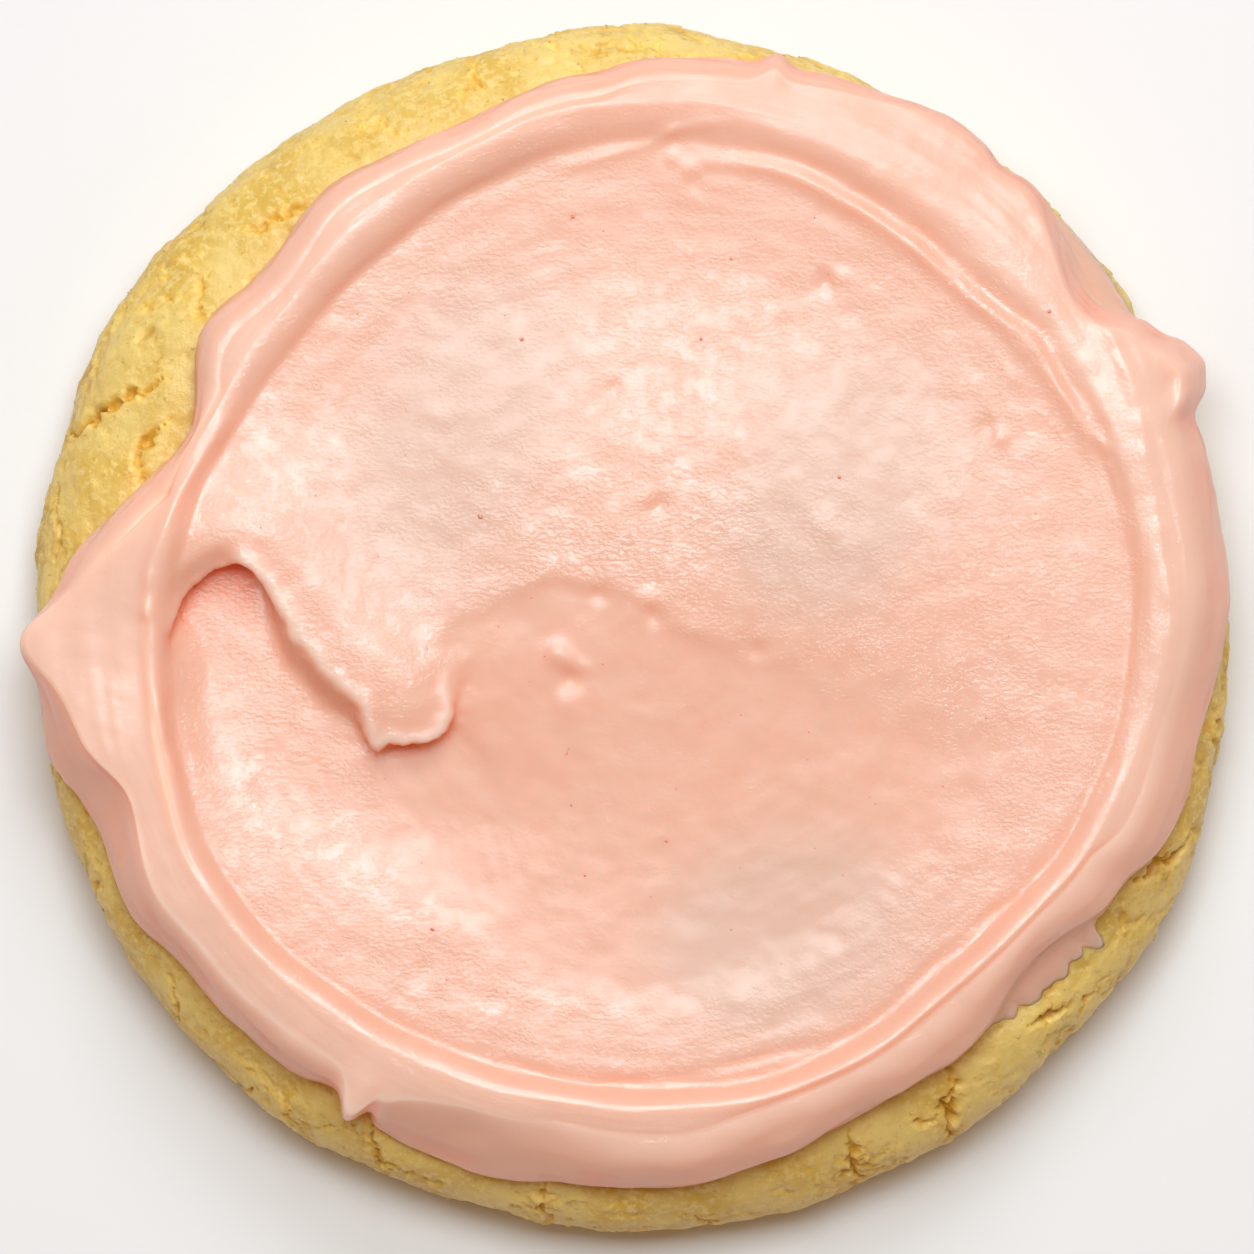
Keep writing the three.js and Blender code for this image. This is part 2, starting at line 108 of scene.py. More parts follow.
def biscuit_top(reach, bearing):
    out = np.clip((reach - shoulder_reach) / (belly(bearing) - shoulder_reach), 0, 1)
    flank = (1 - out**shoulder_fullness) ** (1 / shoulder_fullness)
    crown = biscuit_height - crown_fall * (reach / shoulder_reach) ** 2
    rim = biscuit_height - crown_fall - belly_height
    return np.where(reach < shoulder_reach, crown, belly_height + rim * flank)


# The frosting's foot is needed here too, because crumbs and cracks only show outside it.
outline_radius = 50.6
outline_shift = 1.9
outline_swells = [
    (50, 22, 2.4),  # spread past the biscuit's edge
    (51, 1.6, -0.7),
    (7, 15, 1.2),
    (36.5, 5, -3.4),  # only a thin smear there
    (19, 3, 0.4),
    (22.4, 0.9, 1.3),  # blunt lobe pushed off by the knife
    (24.6, 1.3, 2.6),
    (27.2, 1.3, 2.0),
    (30.6, 1.5, 1.5),
    (75.5, 1.0, 1.2),  # small lump
    (93, 2, -0.5),
    (112, 9, -2.4),
    (135.5, 6, -3.1),
    (156.3, 7.1, -5.3),  # the bared shoulder
    (174, 2.8, 1.1),
    (187, 8, 4.6),  # lobe that hangs over on the left
    (181, 2.4, 2.6),  # its point
    (193.5, 2.5, 1.0),
    (208.5, 4.5, 2.0),
    (215, 16, 1.0),
    (237, 1.5, -0.5),
    (239.9, 0.95, 1.4),  # drawn-out tip
    (241.6, 0.55, -0.8),
    (247.5, 5, 0.6),
    (256.5, 3, 0.6),
    (270, 5, 0.4),
    (304, 17, -3.25),  # bared shoulder, lower right
    (321.5, 6, -3.0),
    (333, 2.2, -1.2),
    (349, 6, -0.6),
]

# Thin film that the frosting leaves on the flank past its wall: (bearing, spread in degrees, reach).
film_swells = [
    (36.5, 6.5, 4.4),
    (320.5, 5.5, 3.7),
]
film_tabs = [  # blunt ragged ends
    (314.8, 0.9, 0.5), (317.4, 1.0, 0.4), (321.0, 1.3, 0.5), (323.9, 0.9, 0.8),
    (326.0, 0.95, 1.7),
]
film_thickness = 0.45
wall_tuck = 0.9
edge_kept = 0.9  # the least biscuit outside the frosting's foot, less at the smear


def outline(bearing):
    return (
        outline_radius
        + outline_shift * cosine(bearing)
        + swell(bearing, outline_swells)
        + 0.18 * sine(13 * bearing + 50)
        + 0.12 * sine(29 * bearing) * sine(4 * bearing + 30)
    )


def film(bearing):
    """How far the film runs, torn where the frosting dragged on the crumb."""
    torn = swell(bearing, [(317, 9, 0.15), (37, 7, 0.16)])
    tear = sine(83 * bearing) + 0.8 * sine(149 * bearing + 40) + 0.6 * sine(229 * bearing)
    reach = swell(bearing, film_swells) + torn * tear
    for middle, half_width, rise in film_tabs:
        reach += rise * np.exp(-(((bearing - middle) / half_width) ** 4))
    return np.maximum(reach, 0)


def foot_reach(bearing):
    kept = edge_kept - swell(bearing, [(37, 8, 0.7)])
    return np.minimum(outline(bearing) - wall_tuck + film(bearing), belly(bearing) - kept)


def fractal_noise(points, size, octaves=3, offset=0.0):
    """Fractal noise with features of about the given size in mm, from -1 to 1."""
    shift = Vector((offset, offset * 1.7, offset * 0.6))
    value = [
        noise.fractal(Vector(p) / size + shift, 0.9, 2.1, octaves) for p in points
    ]
    return np.clip(np.array(value) * 1.4, -1, 1)


def plates(points, size, offset=0.0):
    """How far each point is from the edge of its cell, of about the given size, and the cell's own draw."""
    edge = np.empty(len(points))
    draw = np.empty(len(points))
    shift = Vector((offset, offset, offset))
    for k, p in enumerate(points):
        distances, centres = noise.voronoi(Vector(p) / size + shift)
        edge[k] = (distances[1] - distances[0]) * size
        draw[k] = noise.cell(centres[0] * 7.3)
    return edge, draw


def stitch(counts):
    """Faces between rings of points that may differ in number, facing up and out."""
    faces = []
    first = 0
    for a, b in zip(counts, counts[1:]):
        second = first + a
        if a == b:
            faces += [
                (first + k, second + k, second + (k + 1) % b, first + (k + 1) % a)
                for k in range(a)
            ]
        else:
            i = j = 0
            while i < a or j < b:
                here = (first + i % a, second + j % b)
                if i == a or (j < b and (j + 1) * a <= (i + 1) * b):
                    faces.append(here + (second + (j + 1) % b,))
                    j += 1
                else:
                    faces.append(here + (first + (i + 1) % a,))
                    i += 1
        first = second
    return [f for f in faces if len(set(f)) == len(f)]


def piece_of(name, points, faces):
    mesh = bpy.data.meshes.new(name)
    mesh.from_pydata((np.asarray(points) * MM).tolist(), [], faces)
    mesh.polygons.foreach_set("use_smooth", [True] * len(mesh.polygons))
    mesh.update()
    piece = bpy.data.objects.new(name, mesh)
    bpy.context.scene.collection.objects.link(piece)
    return piece


def paint(piece, attribute, values):
    layer = piece.data.attributes.new(attribute, "FLOAT", "POINT")
    layer.data.foreach_set("value", np.asarray(values, dtype=np.float32))


# The profile is drawn by a share: 0 to 1 over the crown, 1 to 2 down the flank, 2 to 3 round the
# foot, 3 to 4 over the flat underside.
crown_rings = 14
flank_rings = 58
foot_rings = 20
base_rings = 6
fine_columns = 960


def biscuit_place(bearing, share):
    out = np.sin(np.clip(share - 1, 0, 1) * math.pi / 2) ** (2 / shoulder_fullness)
    reach = np.where(
        share < 1, share * shoulder_reach, mix(shoulder_reach, belly(bearing), out)
    )
    height = biscuit_top(reach, bearing)
    turn = np.clip(share - 2, 0, 1) * math.pi / 2
    foot = belly(bearing) - foot_tuck * (1 - np.cos(turn))
    reach = np.where(share > 2, foot, reach)
    height = np.where(share > 2, belly_height * (1 - np.sin(turn)), height)
    base = (belly(bearing) - foot_tuck) * (1 - np.clip(share - 3, 0, 1))
    reach = np.where(share > 3, base, reach)
    height = np.where(share > 3, 0, height)
    return np.stack(
        [reach * cosine(bearing), reach * sine(bearing), height], axis=1
    )


shares = [0.0]
columns = [1]
for k in range(1, crown_rings + 1):
    shares.append(k / crown_rings)
    columns.append(fine_columns if k == crown_rings else 12 * k)
for k in range(1, flank_rings + 1):
    shares.append(1 + k / flank_rings)
    columns.append(fine_columns)
for k in range(1, foot_rings + 1):
    shares.append(2 + k / foot_rings)
    columns.append(fine_columns)
for k in range(1, base_rings + 1):
    shares.append(3 + k / base_rings)
    columns.append(1 if k == base_rings else 20 * (base_rings - k) ** 2)

share = np.concatenate([np.full(n, s) for s, n in zip(shares, columns)])
bearing = np.concatenate([np.arange(n) * 360 / n for n in columns])
faces = stitch(columns)
skin = biscuit_place(bearing, share)

step = 1e-3
turn_step = 57 * step  # degrees, so that both steps are about as long
across = biscuit_place(bearing + turn_step, share) - skin
down = biscuit_place(bearing, share + step) - skin
facing = np.cross(down, across)
length = np.linalg.norm(facing, axis=1)
up = np.where(share[:, None] >= 3, [[0.0, 0.0, -1.0]], [[0.0, 0.0, 1.0]])
facing = np.where(length[:, None] > 1e-9, facing / np.maximum(length, 1e-9)[:, None], up)

# The cracks beside the frosting, and at the end eight more down the flank, each (bearings, reaches,
# width, depth). A reach past the belly runs on down the flank.
cracks = [
    ((160.9, 158.4, 155.6, 152.0), (53.9, 51.9, 50.5, 47.6), 1.7, 2.0),
    ((161.5, 160.0, 158.2), (54.6, 53.3, 51.8), 1.2, 1.4),
    ((155.6, 158.3, 163.4), (45.7, 46.8, 46.4), 1.6, 1.7),
    ((142.2, 141.0, 139.2), (48.6, 50.4, 50.0), 1.7, 1.2),
    ((144.2, 142.2), (47.6, 49.0), 1.1, 1.0),
    ((138.2, 136.6, 135.1), (46.9, 45.9, 44.9), 1.0, 1.1),
    ((147.2, 144.6, 143.4), (53.6, 51.2, 50.0), 1.0, 0.9),
    ((134.5, 132.6, 128.6, 126.9), (50.3, 49.2, 48.2, 46.6), 1.2, 1.3),
    ((118.8, 117.6, 114.2), (52.5, 51.4, 49.2), 0.9, 0.9),
    ((106.0, 105.7, 107.6), (53.5, 51.4, 50.2), 1.3, 1.3),
    ((97.2, 98.2), (51.6, 53.8), 0.9, 0.9),
    ((89.9, 90.4), (53.8, 51.6), 0.8, 0.7),
    ((78.2, 79.1), (53.5, 52.2), 0.9, 0.9),
    ((166.6, 171.0, 174.6), (53.7, 52.5, 52.8), 1.1, 1.0),
    ((332.9, 336.8, 340.6), (50.0, 53.3, 55.2), 1.5, 1.6),
    ((321.8, 320.6, 319.2), (53.3, 52.9, 53.4), 1.2, 1.1),
    ((315.2, 315.9, 320.2), (50.2, 51.3, 52.2), 1.2, 1.5),
    ((306.4, 305.5, 303.9, 301.6), (48.6, 50.4, 51.4, 54.6), 1.5, 1.7),
    ((303.6, 301.0, 299.4), (51.4, 52.4, 50.0), 1.0, 1.0),
    ((293.9, 293.0, 292.0), (48.9, 51.8, 55.0), 1.4, 1.4),
    ((261.6, 260.8, 262.3), (50.2, 52.4, 54.8), 1.2, 1.2),
    ((241.4, 244.0, 246.4), (49.8, 52.2, 54.6), 1.3, 1.4),
    ((217.8, 219.9, 221.2), (52.2, 53.3, 55.0), 1.2, 1.2),
    ((205.6, 207.4), (52.8, 54.6), 1.0, 0.9),
    ((5, 8), (53.6, 58), 1.2, 1.2),
    ((28, 24), (53.6, 59), 1.4, 1.3),
    ((62, 66), (53.6, 58), 1.3, 1.3),
    ((110, 112), (53.9, 59), 1.2, 1.2),
    ((186, 182), (53.6, 59), 1.5, 1.5),
    ((231, 228), (53.6, 58), 1.3, 1.2),
    ((276, 279), (53.6, 59), 1.3, 1.4),
    ((351, 348), (53.6, 59), 1.3, 1.3),
]
crack_narrowing = 0.36  # of the widths above, so that the torn lips stand beside the gap
crack_deepening = 0.62
crack_span = 12  # mm, more than half of the longest crack
degree = math.radians(biscuit_radius)  # the length of a degree round the belly
flank_arc = 12.5  # mm, the mean radius of the flank's bend


def unrolled(bearing, reach):
    """Bearing and reach laid out flat in mm, so that the flank's steep part isn't squeezed."""
    out = np.clip((reach - shoulder_reach) / (biscuit_radius - shoulder_reach), 0, 1)
    arc = np.arcsin(out ** (shoulder_fullness / 2)) * flank_arc
    past = np.maximum(reach - biscuit_radius, 0)
    return np.stack([bearing * degree, arc + past], axis=-1)


def polyline_distance(points, stops):
    """How far each point is from a line through stops, and how far along it, from 0 to 1."""
    best = np.full(len(points), np.inf)
    along = np.zeros(len(points))
    lengths = np.linalg.norm(np.diff(stops, axis=0), axis=1)
    start = np.concatenate([[0], np.cumsum(lengths)]) / lengths.sum()
    for k, span in enumerate(lengths):
        a, b = stops[k], stops[k + 1]
        t = np.clip((points - a) @ (b - a) / span**2, 0, 1)
        gap = np.linalg.norm(points - (a + t[:, None] * (b - a)), axis=1)
        nearer = gap < best
        best = np.where(nearer, gap, best)
        along = np.where(nearer, mix(start[k], start[k + 1], t), along)
    return best, along


flank = (share > 1) & (share < 3)
flank_points = skin[flank]
flank_bearing = bearing[flank]
plan_reach = np.linalg.norm(flank_points[:, :2], axis=1)
foot_length = 6  # mm from the belly down round the foot
foot_arc = np.clip(share[flank] - 2, 0, 1) * foot_length
flat = unrolled(flank_bearing, plan_reach)
flat[:, 1] = np.where(share[flank] > 2, flank_arc * math.pi / 2 + foot_arc, flat[:, 1])
bare = ease(plan_reach, foot_reach(flank_bearing) - 0.4, foot_reach(flank_bearing) + 1.0)
bare = np.where(share[flank] > 1.85, 1.0, bare)
outer = ease(share[flank], 1.25, 1.6)

wander = np.stack(
    [fractal_noise(flank_points, 1.5, 3, o) for o in (3.1, 7.7)], axis=1
)
tear = np.stack([fractal_noise(flank_points, 0.7, 2, o) for o in (13.1, 17.7)], axis=1)
depth = np.zeros(len(flank_points))
lips = np.zeros(len(flank_points))
for bearings, reaches, width, deep in cracks:
    stops = unrolled(np.array(bearings, float), np.array(reaches, float))
    near = np.abs(flat[:, 0] - stops[:, 0].mean()) < crack_span
    gap, along = polyline_distance(flat[near] + 0.7 * wander[near] + 0.16 * tear[near], stops)
    taper = 0.45 + 0.55 * np.sin(math.pi * along)
    gap /= width * crack_narrowing * taper
    depth[near] = np.maximum(depth[near], crack_deepening * deep * taper * (1 - ease(gap, 0.2, 1.1)))
    lips[near] = np.maximum(lips[near], np.exp(-(((gap - 1.7) / 0.7) ** 2)) * taper)

lump = fractal_noise(flank_points, 9, 2, 11.0)
grain = fractal_noise(flank_points, 2.2, 3, 5.0)
fine = fractal_noise(flank_points, 0.9, 2, 8.0)
patchy = fractal_noise(flank_points, 8, 2, 20.0)
edge, draw = plates(flank_points + 1.1 * np.c_[wander, wander[:, 0]], 6.0, 2.0)
small_edge, _ = plates(flank_points + 0.5 * np.c_[wander, wander[:, 0]], 2.4, 6.0)
seam = np.clip(1 - edge / 0.55, 0, 1) * ease(patchy, -0.1, 0.4)
dome = 1 - np.exp(-edge / 0.8)
crumb_seam = np.clip(1 - small_edge / 0.35, 0, 1) * ease(patchy, -0.5, 0.2)
pits = ease(fractal_noise(flank_points, 1.5, 2, 31.0), 0.62, 0.85)

rise = (
    0.32 * lump
    + 0.24 * (draw - 0.5) * outer
    + 0.20 * (dome - 0.6) * mix(0.5, 1, outer)
    + 0.08 * lips
    + 0.07 * grain
    + 0.05 * fine
    - 0.24 * seam * mix(0.4, 1, outer)
    - 0.04 * crumb_seam
    - 0.22 * pits * outer
    - depth
    - 0.12
)
calm_foot = 1 - 0.85 * ease(share[flank], 2.6, 3.0)
hidden = np.minimum(rise, -0.3)
rise = mix(hidden * 0.4, rise, bare) * calm_foot
skin[flank] += facing[flank] * rise[:, None]

biscuit = piece_of("biscuit_baked", skin, faces)
# How deep each point lies in a crack, seam or pit; the crust is painted deeper orange there, partly for its
# deeper bake and partly as painted shade.
hollow = np.zeros(len(skin))
hollow[flank] = np.clip(depth + 0.45 * seam + 0.15 * crumb_seam + 0.3 * pits, 0, 1)
paint(biscuit, "hollow", hollow)
tray = ease(share, 2.35, 2.95)
paint(biscuit, "tray_brown", tray)
lift = np.zeros(len(skin))
lift[flank] = np.clip(0.45 + 0.3 * lump + 0.5 * (draw - 0.5) + 0.35 * lips, 0, 1)
paint(biscuit, "lift", lift)


def new_material(name):
    material = bpy.data.materials.new(name)
    material.use_nodes = True
    nodes = material.node_tree.nodes
    return material, nodes, material.node_tree.links, nodes["Principled BSDF"]


def colour_of(red, green, blue):
    """Linear colour of an sRGB one given from 0 to 255."""
    def linear(v):
        v /= 255
        return v / 12.92 if v <= 0.04045 else ((v + 0.055) / 1.055) ** 2.4
    return (linear(red), linear(green), linear(blue), 1)


def noise_node(nodes, links, coordinates, size, detail=4.0, rough=0.55):
    """A noise texture with features of about the given size in mm."""
    texture = nodes.new("ShaderNodeTexNoise")
    texture.inputs["Scale"].default_value = 1 / (size * MM)
    texture.inputs["Detail"].default_value = detail
    texture.inputs["Roughness"].default_value = rough
    links.new(coordinates, texture.inputs["Vector"])
    return texture.outputs["Fac"]


def mix_colour(nodes, links, amount, first, second):
    node = nodes.new("ShaderNodeMix")
    node.data_type = "RGBA"
    for socket, value in (("Factor", amount), ("A", first), ("B", second)):
        target = next(s for s in node.inputs if s.name == socket and s.enabled)
        if isinstance(value, (tuple, float)):
            target.default_value = value
        else:
            links.new(value, target)
    return next(s for s in node.outputs if s.enabled)


def ramp(nodes, links, value, low, high, low_to=0.0, high_to=1.0):
    node = nodes.new("ShaderNodeMapRange")
    node.interpolation_type = "SMOOTHSTEP"
    for socket, number in zip(
        ("From Min", "From Max", "To Min", "To Max"), (low, high, low_to, high_to)
    ):
        node.inputs[socket].default_value = number
    links.new(value, node.inputs["Value"])
    return node.outputs["Result"]


def attribute_of(nodes, name):
    node = nodes.new("ShaderNodeAttribute")
    node.attribute_name = name
    return node.outputs["Fac"]


def multiplied(nodes, links, first, second):
    node = nodes.new("ShaderNodeMath")
    node.operation = "MULTIPLY"
    links.new(first, node.inputs[0])
    links.new(second, node.inputs[1])
    return node.outputs["Value"]


def bump_chain(nodes, links, heights, shader, normal_socket="Normal"):
    """Bumps laid one on another, each (height, depth in mm, strength)."""
    normal = None
    for height, deep, strength in heights:
        node = nodes.new("ShaderNodeBump")
        node.inputs["Distance"].default_value = deep * MM
        node.inputs["Strength"].default_value = strength
        links.new(height, node.inputs["Height"])
        if normal:
            links.new(normal, node.inputs["Normal"])
        normal = node.outputs["Normal"]
    links.new(normal, shader.inputs[normal_socket])


def crust_material(name, base, pale, crack, tray_colour, freckle, bump_depth=0.16):
    material, nodes, links, shader = new_material(name)
    place = nodes.new("ShaderNodeTexCoord").outputs["Object"]
    mottle = ramp(nodes, links, noise_node(nodes, links, place, 6.0), 0.35, 0.68)
    flecks = ramp(nodes, links, noise_node(nodes, links, place, 0.8, 3.0, 0.6), 0.46, 0.62)
    dark_flecks = ramp(nodes, links, noise_node(nodes, links, place, 1.5, 4.0, 0.65), 0.54, 0.7, 0, 0.4)
    surface = mix_colour(nodes, links, mottle, base, pale)
    surface = mix_colour(nodes, links, flecks, surface, pale)
    surface = mix_colour(nodes, links, dark_flecks, surface, crack)
    lift_amount = ramp(nodes, links, attribute_of(nodes, "lift"), 0.45, 0.8, 0.0, 0.5)
    surface = mix_colour(nodes, links, lift_amount, surface, pale)
    freckles = ramp(nodes, links, noise_node(nodes, links, place, 0.55, 2.0, 0.5), 0.66, 0.74, 0.0, 0.45)
    surface = mix_colour(nodes, links, freckles, surface, freckle)
    # the cracks, seams and pits are painted a deeper orange: partly the crust's deeper bake there, partly
    # painted shade
    crack_bake_and_shade = ramp(nodes, links, attribute_of(nodes, "hollow"), 0.12, 0.75)
    surface = mix_colour(nodes, links, crack_bake_and_shade, surface, crack)
    browned = attribute_of(nodes, "tray_brown")
    surface = mix_colour(nodes, links, browned, surface, tray_colour)
    links.new(surface, shader.inputs["Base Color"])
    shader.inputs["Roughness"].default_value = 0.42
    shader.inputs["Specular IOR Level"].default_value = 0.5
    shader.subsurface_method = "BURLEY"
    shader.inputs["Subsurface Weight"].default_value = 0.5
    shader.inputs["Subsurface Radius"].default_value = (1.0, 0.7, 0.3)
    shader.inputs["Subsurface Scale"].default_value = 1.2 * MM
    crumb = noise_node(nodes, links, place, 0.35, 3.0, 0.65)
    coarse = noise_node(nodes, links, place, 1.6, 3.0, 0.55)
    bump_chain(nodes, links, [(coarse, bump_depth, 0.45), (crumb, bump_depth * 0.8, 0.8)], shader)
    return material


crust = crust_material(
    "baked_sugar_crust",
    colour_of(220, 180, 80),
    colour_of(234, 205, 122),
    colour_of(206, 156, 54),
    colour_of(200, 144, 70),
    colour_of(196, 142, 62),
)
biscuit.data.materials.append(crust)
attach(biscuit, "root")
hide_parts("biscuit")


# ------------------------------------------------------------------ crumbs on the bare flank
# Loose and half-baked-in grains of the same dough, left where the flank tore open as it rose.
# They lie thickest in the cracks' edges and on the bared shoulder.

TURN = 2 * math.pi
crumb_count = 420
crumb_sizes = (0.06, 0.17)


def socket(tree, name, kind, direction="INPUT"):
    return tree.interface.new_socket(name=name, in_out=direction, socket_type=kind)


def crumb_tree(material):
    tree = bpy.data.node_groups.new("crumb_scatter", "GeometryNodeTree")
    tree.is_modifier = True
    socket(tree, "Surface", "NodeSocketGeometry")
    named = {
        "Smallest": socket(tree, "Smallest", "NodeSocketFloat"),
        "Largest": socket(tree, "Largest", "NodeSocketFloat"),
    }
    socket(tree, "Crumbs", "NodeSocketGeometry", "OUTPUT")
    nodes, link = tree.nodes, tree.links.new
    entry = nodes.new("NodeGroupInput")
    exit_node = nodes.new("NodeGroupOutput")
    grain_shape = nodes.new("GeometryNodeMeshIcoSphere")
    grain_shape.inputs["Radius"].default_value = 1.0
    grain_shape.inputs["Subdivisions"].default_value = 1
    size = nodes.new("FunctionNodeRandomValue")
    size.data_type = "FLOAT"
    size.inputs["Seed"].default_value = 11
    spin = nodes.new("FunctionNodeRandomValue")
    spin.data_type = "FLOAT_VECTOR"
    spin.inputs["Seed"].default_value = 12
    spin.inputs[0].default_value = (0, 0, 0)
    spin.inputs[1].default_value = (TURN, TURN, TURN)
    stretch = nodes.new("FunctionNodeRandomValue")
    stretch.data_type = "FLOAT_VECTOR"
    stretch.inputs["Seed"].default_value = 13
    stretch.inputs[0].default_value = (0.6, 0.6, 0.5)
    stretch.inputs[1].default_value = (1.3, 1.1, 0.9)
    scale = nodes.new("ShaderNodeVectorMath")
    scale.operation = "SCALE"
    spread = nodes.new("GeometryNodeInstanceOnPoints")
    realize = nodes.new("GeometryNodeRealizeInstances")
    paint_node = nodes.new("GeometryNodeSetMaterial")
    paint_node.inputs["Material"].default_value = material
    shade = nodes.new("GeometryNodeSetShadeSmooth")
    link(entry.outputs["Smallest"], size.inputs[2])
    link(entry.outputs["Largest"], size.inputs[3])
    link(stretch.outputs[0], scale.inputs[0])
    link(size.outputs[1], scale.inputs["Scale"])
    link(entry.outputs["Surface"], spread.inputs["Points"])
    link(grain_shape.outputs["Mesh"], spread.inputs["Instance"])
    link(spin.outputs[0], spread.inputs["Rotation"])
    link(scale.outputs["Vector"], spread.inputs["Scale"])
    link(spread.outputs["Instances"], realize.inputs["Geometry"])
    link(realize.outputs["Geometry"], shade.inputs["Geometry"])
    link(shade.outputs["Geometry"], paint_node.inputs["Geometry"])
    link(paint_node.outputs["Geometry"], exit_node.inputs["Crumbs"])
    return tree, named


def scattered(name, points, tree, settings):
    """A mesh of what a scatter tree puts on points, with its inputs set by identifier."""
    seed_mesh = bpy.data.meshes.new(name + "_points")
    seed_mesh.from_pydata((np.asarray(points) * MM).tolist(), [], [])
    holder = bpy.data.objects.new(name + "_points", seed_mesh)
    bpy.context.scene.collection.objects.link(holder)
    modifier = holder.modifiers.new("scatter", "NODES")
    modifier.node_group = tree
    for identifier, value in settings:
        modifier[identifier] = value
    evaluated = holder.evaluated_get(bpy.context.evaluated_depsgraph_get())
    mesh = bpy.data.meshes.new_from_object(evaluated)
    mesh.name = name
    piece = bpy.data.objects.new(name, mesh)
    bpy.context.scene.collection.objects.link(piece)
    bpy.data.objects.remove(holder)
    return piece


chance = np.random.default_rng(4)
weight = bare * (0.25 + 0.75 * ease(share[flank], 1.3, 1.7))
weight *= 1 - ease(share[flank], 2.2, 2.6)
weight *= 0.4 + np.clip(depth, 0, 1) + 0.8 * ease(patchy, -0.1, 0.5)
picked = chance.choice(
    np.flatnonzero(flank), crumb_count, replace=False, p=weight / weight.sum()
)
crumb_spots = skin[picked] + facing[picked] * 0.02
crumb_crust = crust_material(
    "sugar_crumb",
    colour_of(222, 186, 96),
    colour_of(232, 204, 122),
    colour_of(200, 150, 48),
    colour_of(205, 150, 72),
    colour_of(190, 140, 60),
    0.08,
)
tree, named = crumb_tree(crumb_crust)
crumbs = scattered(
    "crumbs",
    crumb_spots,
    tree,
    [
        (named["Smallest"].identifier, crumb_sizes[0] * MM),
        (named["Largest"].identifier, crumb_sizes[1] * MM),
    ],
)
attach(crumbs, "root")


# ------------------------------------------------------------------ the frosting
# Soft pink butter frosting, dropped on the middle and spread with a palette knife as the cookie
# turned: a shallow dish inside a raised rim, a wall pushed out over the biscuit's edge, and the
# last stroke's open hollow on the left, with its flap pulled up as the knife lifted.

dish_height = 18.2
dish_radius = 42.9
dish_middle = (2.0, 1.75)
bank_width = 2.6
bank_rise = 0.9
wall_width = 3.0
crest_round = 0.4
rim_fall = 0.11

# How the dish's edge, the crest and its height swell: (bearing, spread in degrees, rise).
dish_swells = [(52, 20, -3.0), (132, 24, -3.6), (215, 18, 2.2), (318, 12, -1.6)]
crest_swells = [(190, 40, -0.6), (300, 35, -0.7), (105, 30, 1.3), (50, 18, 1.3)]
crest_height_swells = [(118, 26, 1.0), (5, 30, -0.2), (187, 16, 0.3), (265, 30, 0.2)]


def dish_edge(bearing):
    return (
        dish_radius
        + dish_middle[0] * cosine(bearing)
        + dish_middle[1] * sine(bearing)
        + swell(bearing, dish_swells)
        + 0.12 * sine(9 * bearing + 20)
        + 0.08 * sine(23 * bearing)
    )


def crest(bearing):
    return dish_edge(bearing) + bank_width + swell(bearing, crest_swells)


# How wide the wall looks from above: (bearing, spread in degrees, rise).
wall_swells = [
    (300, 40, 2.0),  # fat round roll
    (57, 14, -2.1),
    (38, 6, -0.6),
    (110, 20, -0.9),
    (181, 4.2, -2.9),  # sharp edge of the left lobe
    (196, 4.5, 1.1),
    (218, 6, -0.8),
    (230, 6, -0.5),
    (240, 2.6, -3.0),  # and of the drawn-out tip
    (257, 9, 1.6),
]


def rim_shoulder(bearing):
    return np.maximum(
        outline(bearing) - wall_width - swell(bearing, wall_swells), crest(bearing) + 0.5
    )


# Where the wall is straighter: (bearing, spread in degrees, rise).
straight_swells = [(200, 16, 0.8), (251, 9, 0.9), (2, 20, 0.45), (38, 8, 0.6)]


def wall_straightness(bearing):
    """1 draws the wall as a quarter ellipse, more draws it towards a straight bevel under a sharp brow."""
    return 0.95 + swell(bearing, straight_swells)


def crest_height(bearing):
    return (
        dish_height
        + bank_rise
        + swell(bearing, crest_height_swells)
        + 0.12 * sine(7 * bearing + 10)
        + 0.08 * sine(17 * bearing + 80)
    )


def shoulder_height(bearing):
    return (
        crest_height(bearing)
        - crest_round
        - rim_fall * (rim_shoulder(bearing) - crest(bearing))
    )


# Soft rises and hollows of the dish: (x, y, spread along x, spread along y, rise).
dish_reliefs = [
    (2.0, 8.5, 20, 12, 1.2),  # the mound over the biscuit's crown
    (2, -23, 18, 12, -0.8),  # the hollow south of it
    (24, 24, 9, 9, -0.3),
    (9.5, 16.5, 7, 4, 0.16),
    (-14, 19, 8, 5, 0.14),
    (22, 4, 6, 8, 0.12),
]

# The lobe on the left rises towards its brow in the same way.
lobe_rise = (-47.5, -13.0, 5.5, 8.0, 0.6)

# On its far side the dish climbs a little before its bank.
far_climb = 0.45
far_climb_reach = (29, 42)
far_climb_y = (12, 30)


def dish(x, y):
    total = np.full_like(x, dish_height)
    for cx, cy, sx, sy, rise in dish_reliefs:
        total += rise * np.exp(-0.5 * (((x - cx) / sx) ** 2 + ((y - cy) / sy) ** 2))
    turned = np.hypot(x - dish_middle[0], y - dish_middle[1])
    return total + far_climb * ease(turned, *far_climb_reach) * ease(y, *far_climb_y)


def smooth_line(stops, steps):
    """Points along a smooth line through stops of any number of values."""
    stops = np.asarray(stops, float)
    padded = np.vstack([2 * stops[0] - stops[1], stops, 2 * stops[-1] - stops[-2]])
    points = []
    for k in range(1, len(padded) - 2):
        a, b, c, d = padded[k - 1 : k + 3]
        for t in np.arange(steps) / steps:
            points.append(
                0.5
                * (
                    2 * b
                    + (c - a) * t
                    + (2 * a - 5 * b + 4 * c - d) * t**2
                    + (3 * b - a - 3 * c + d) * t**3
                )
            )
    points.append(stops[-1])
    return np.array(points)


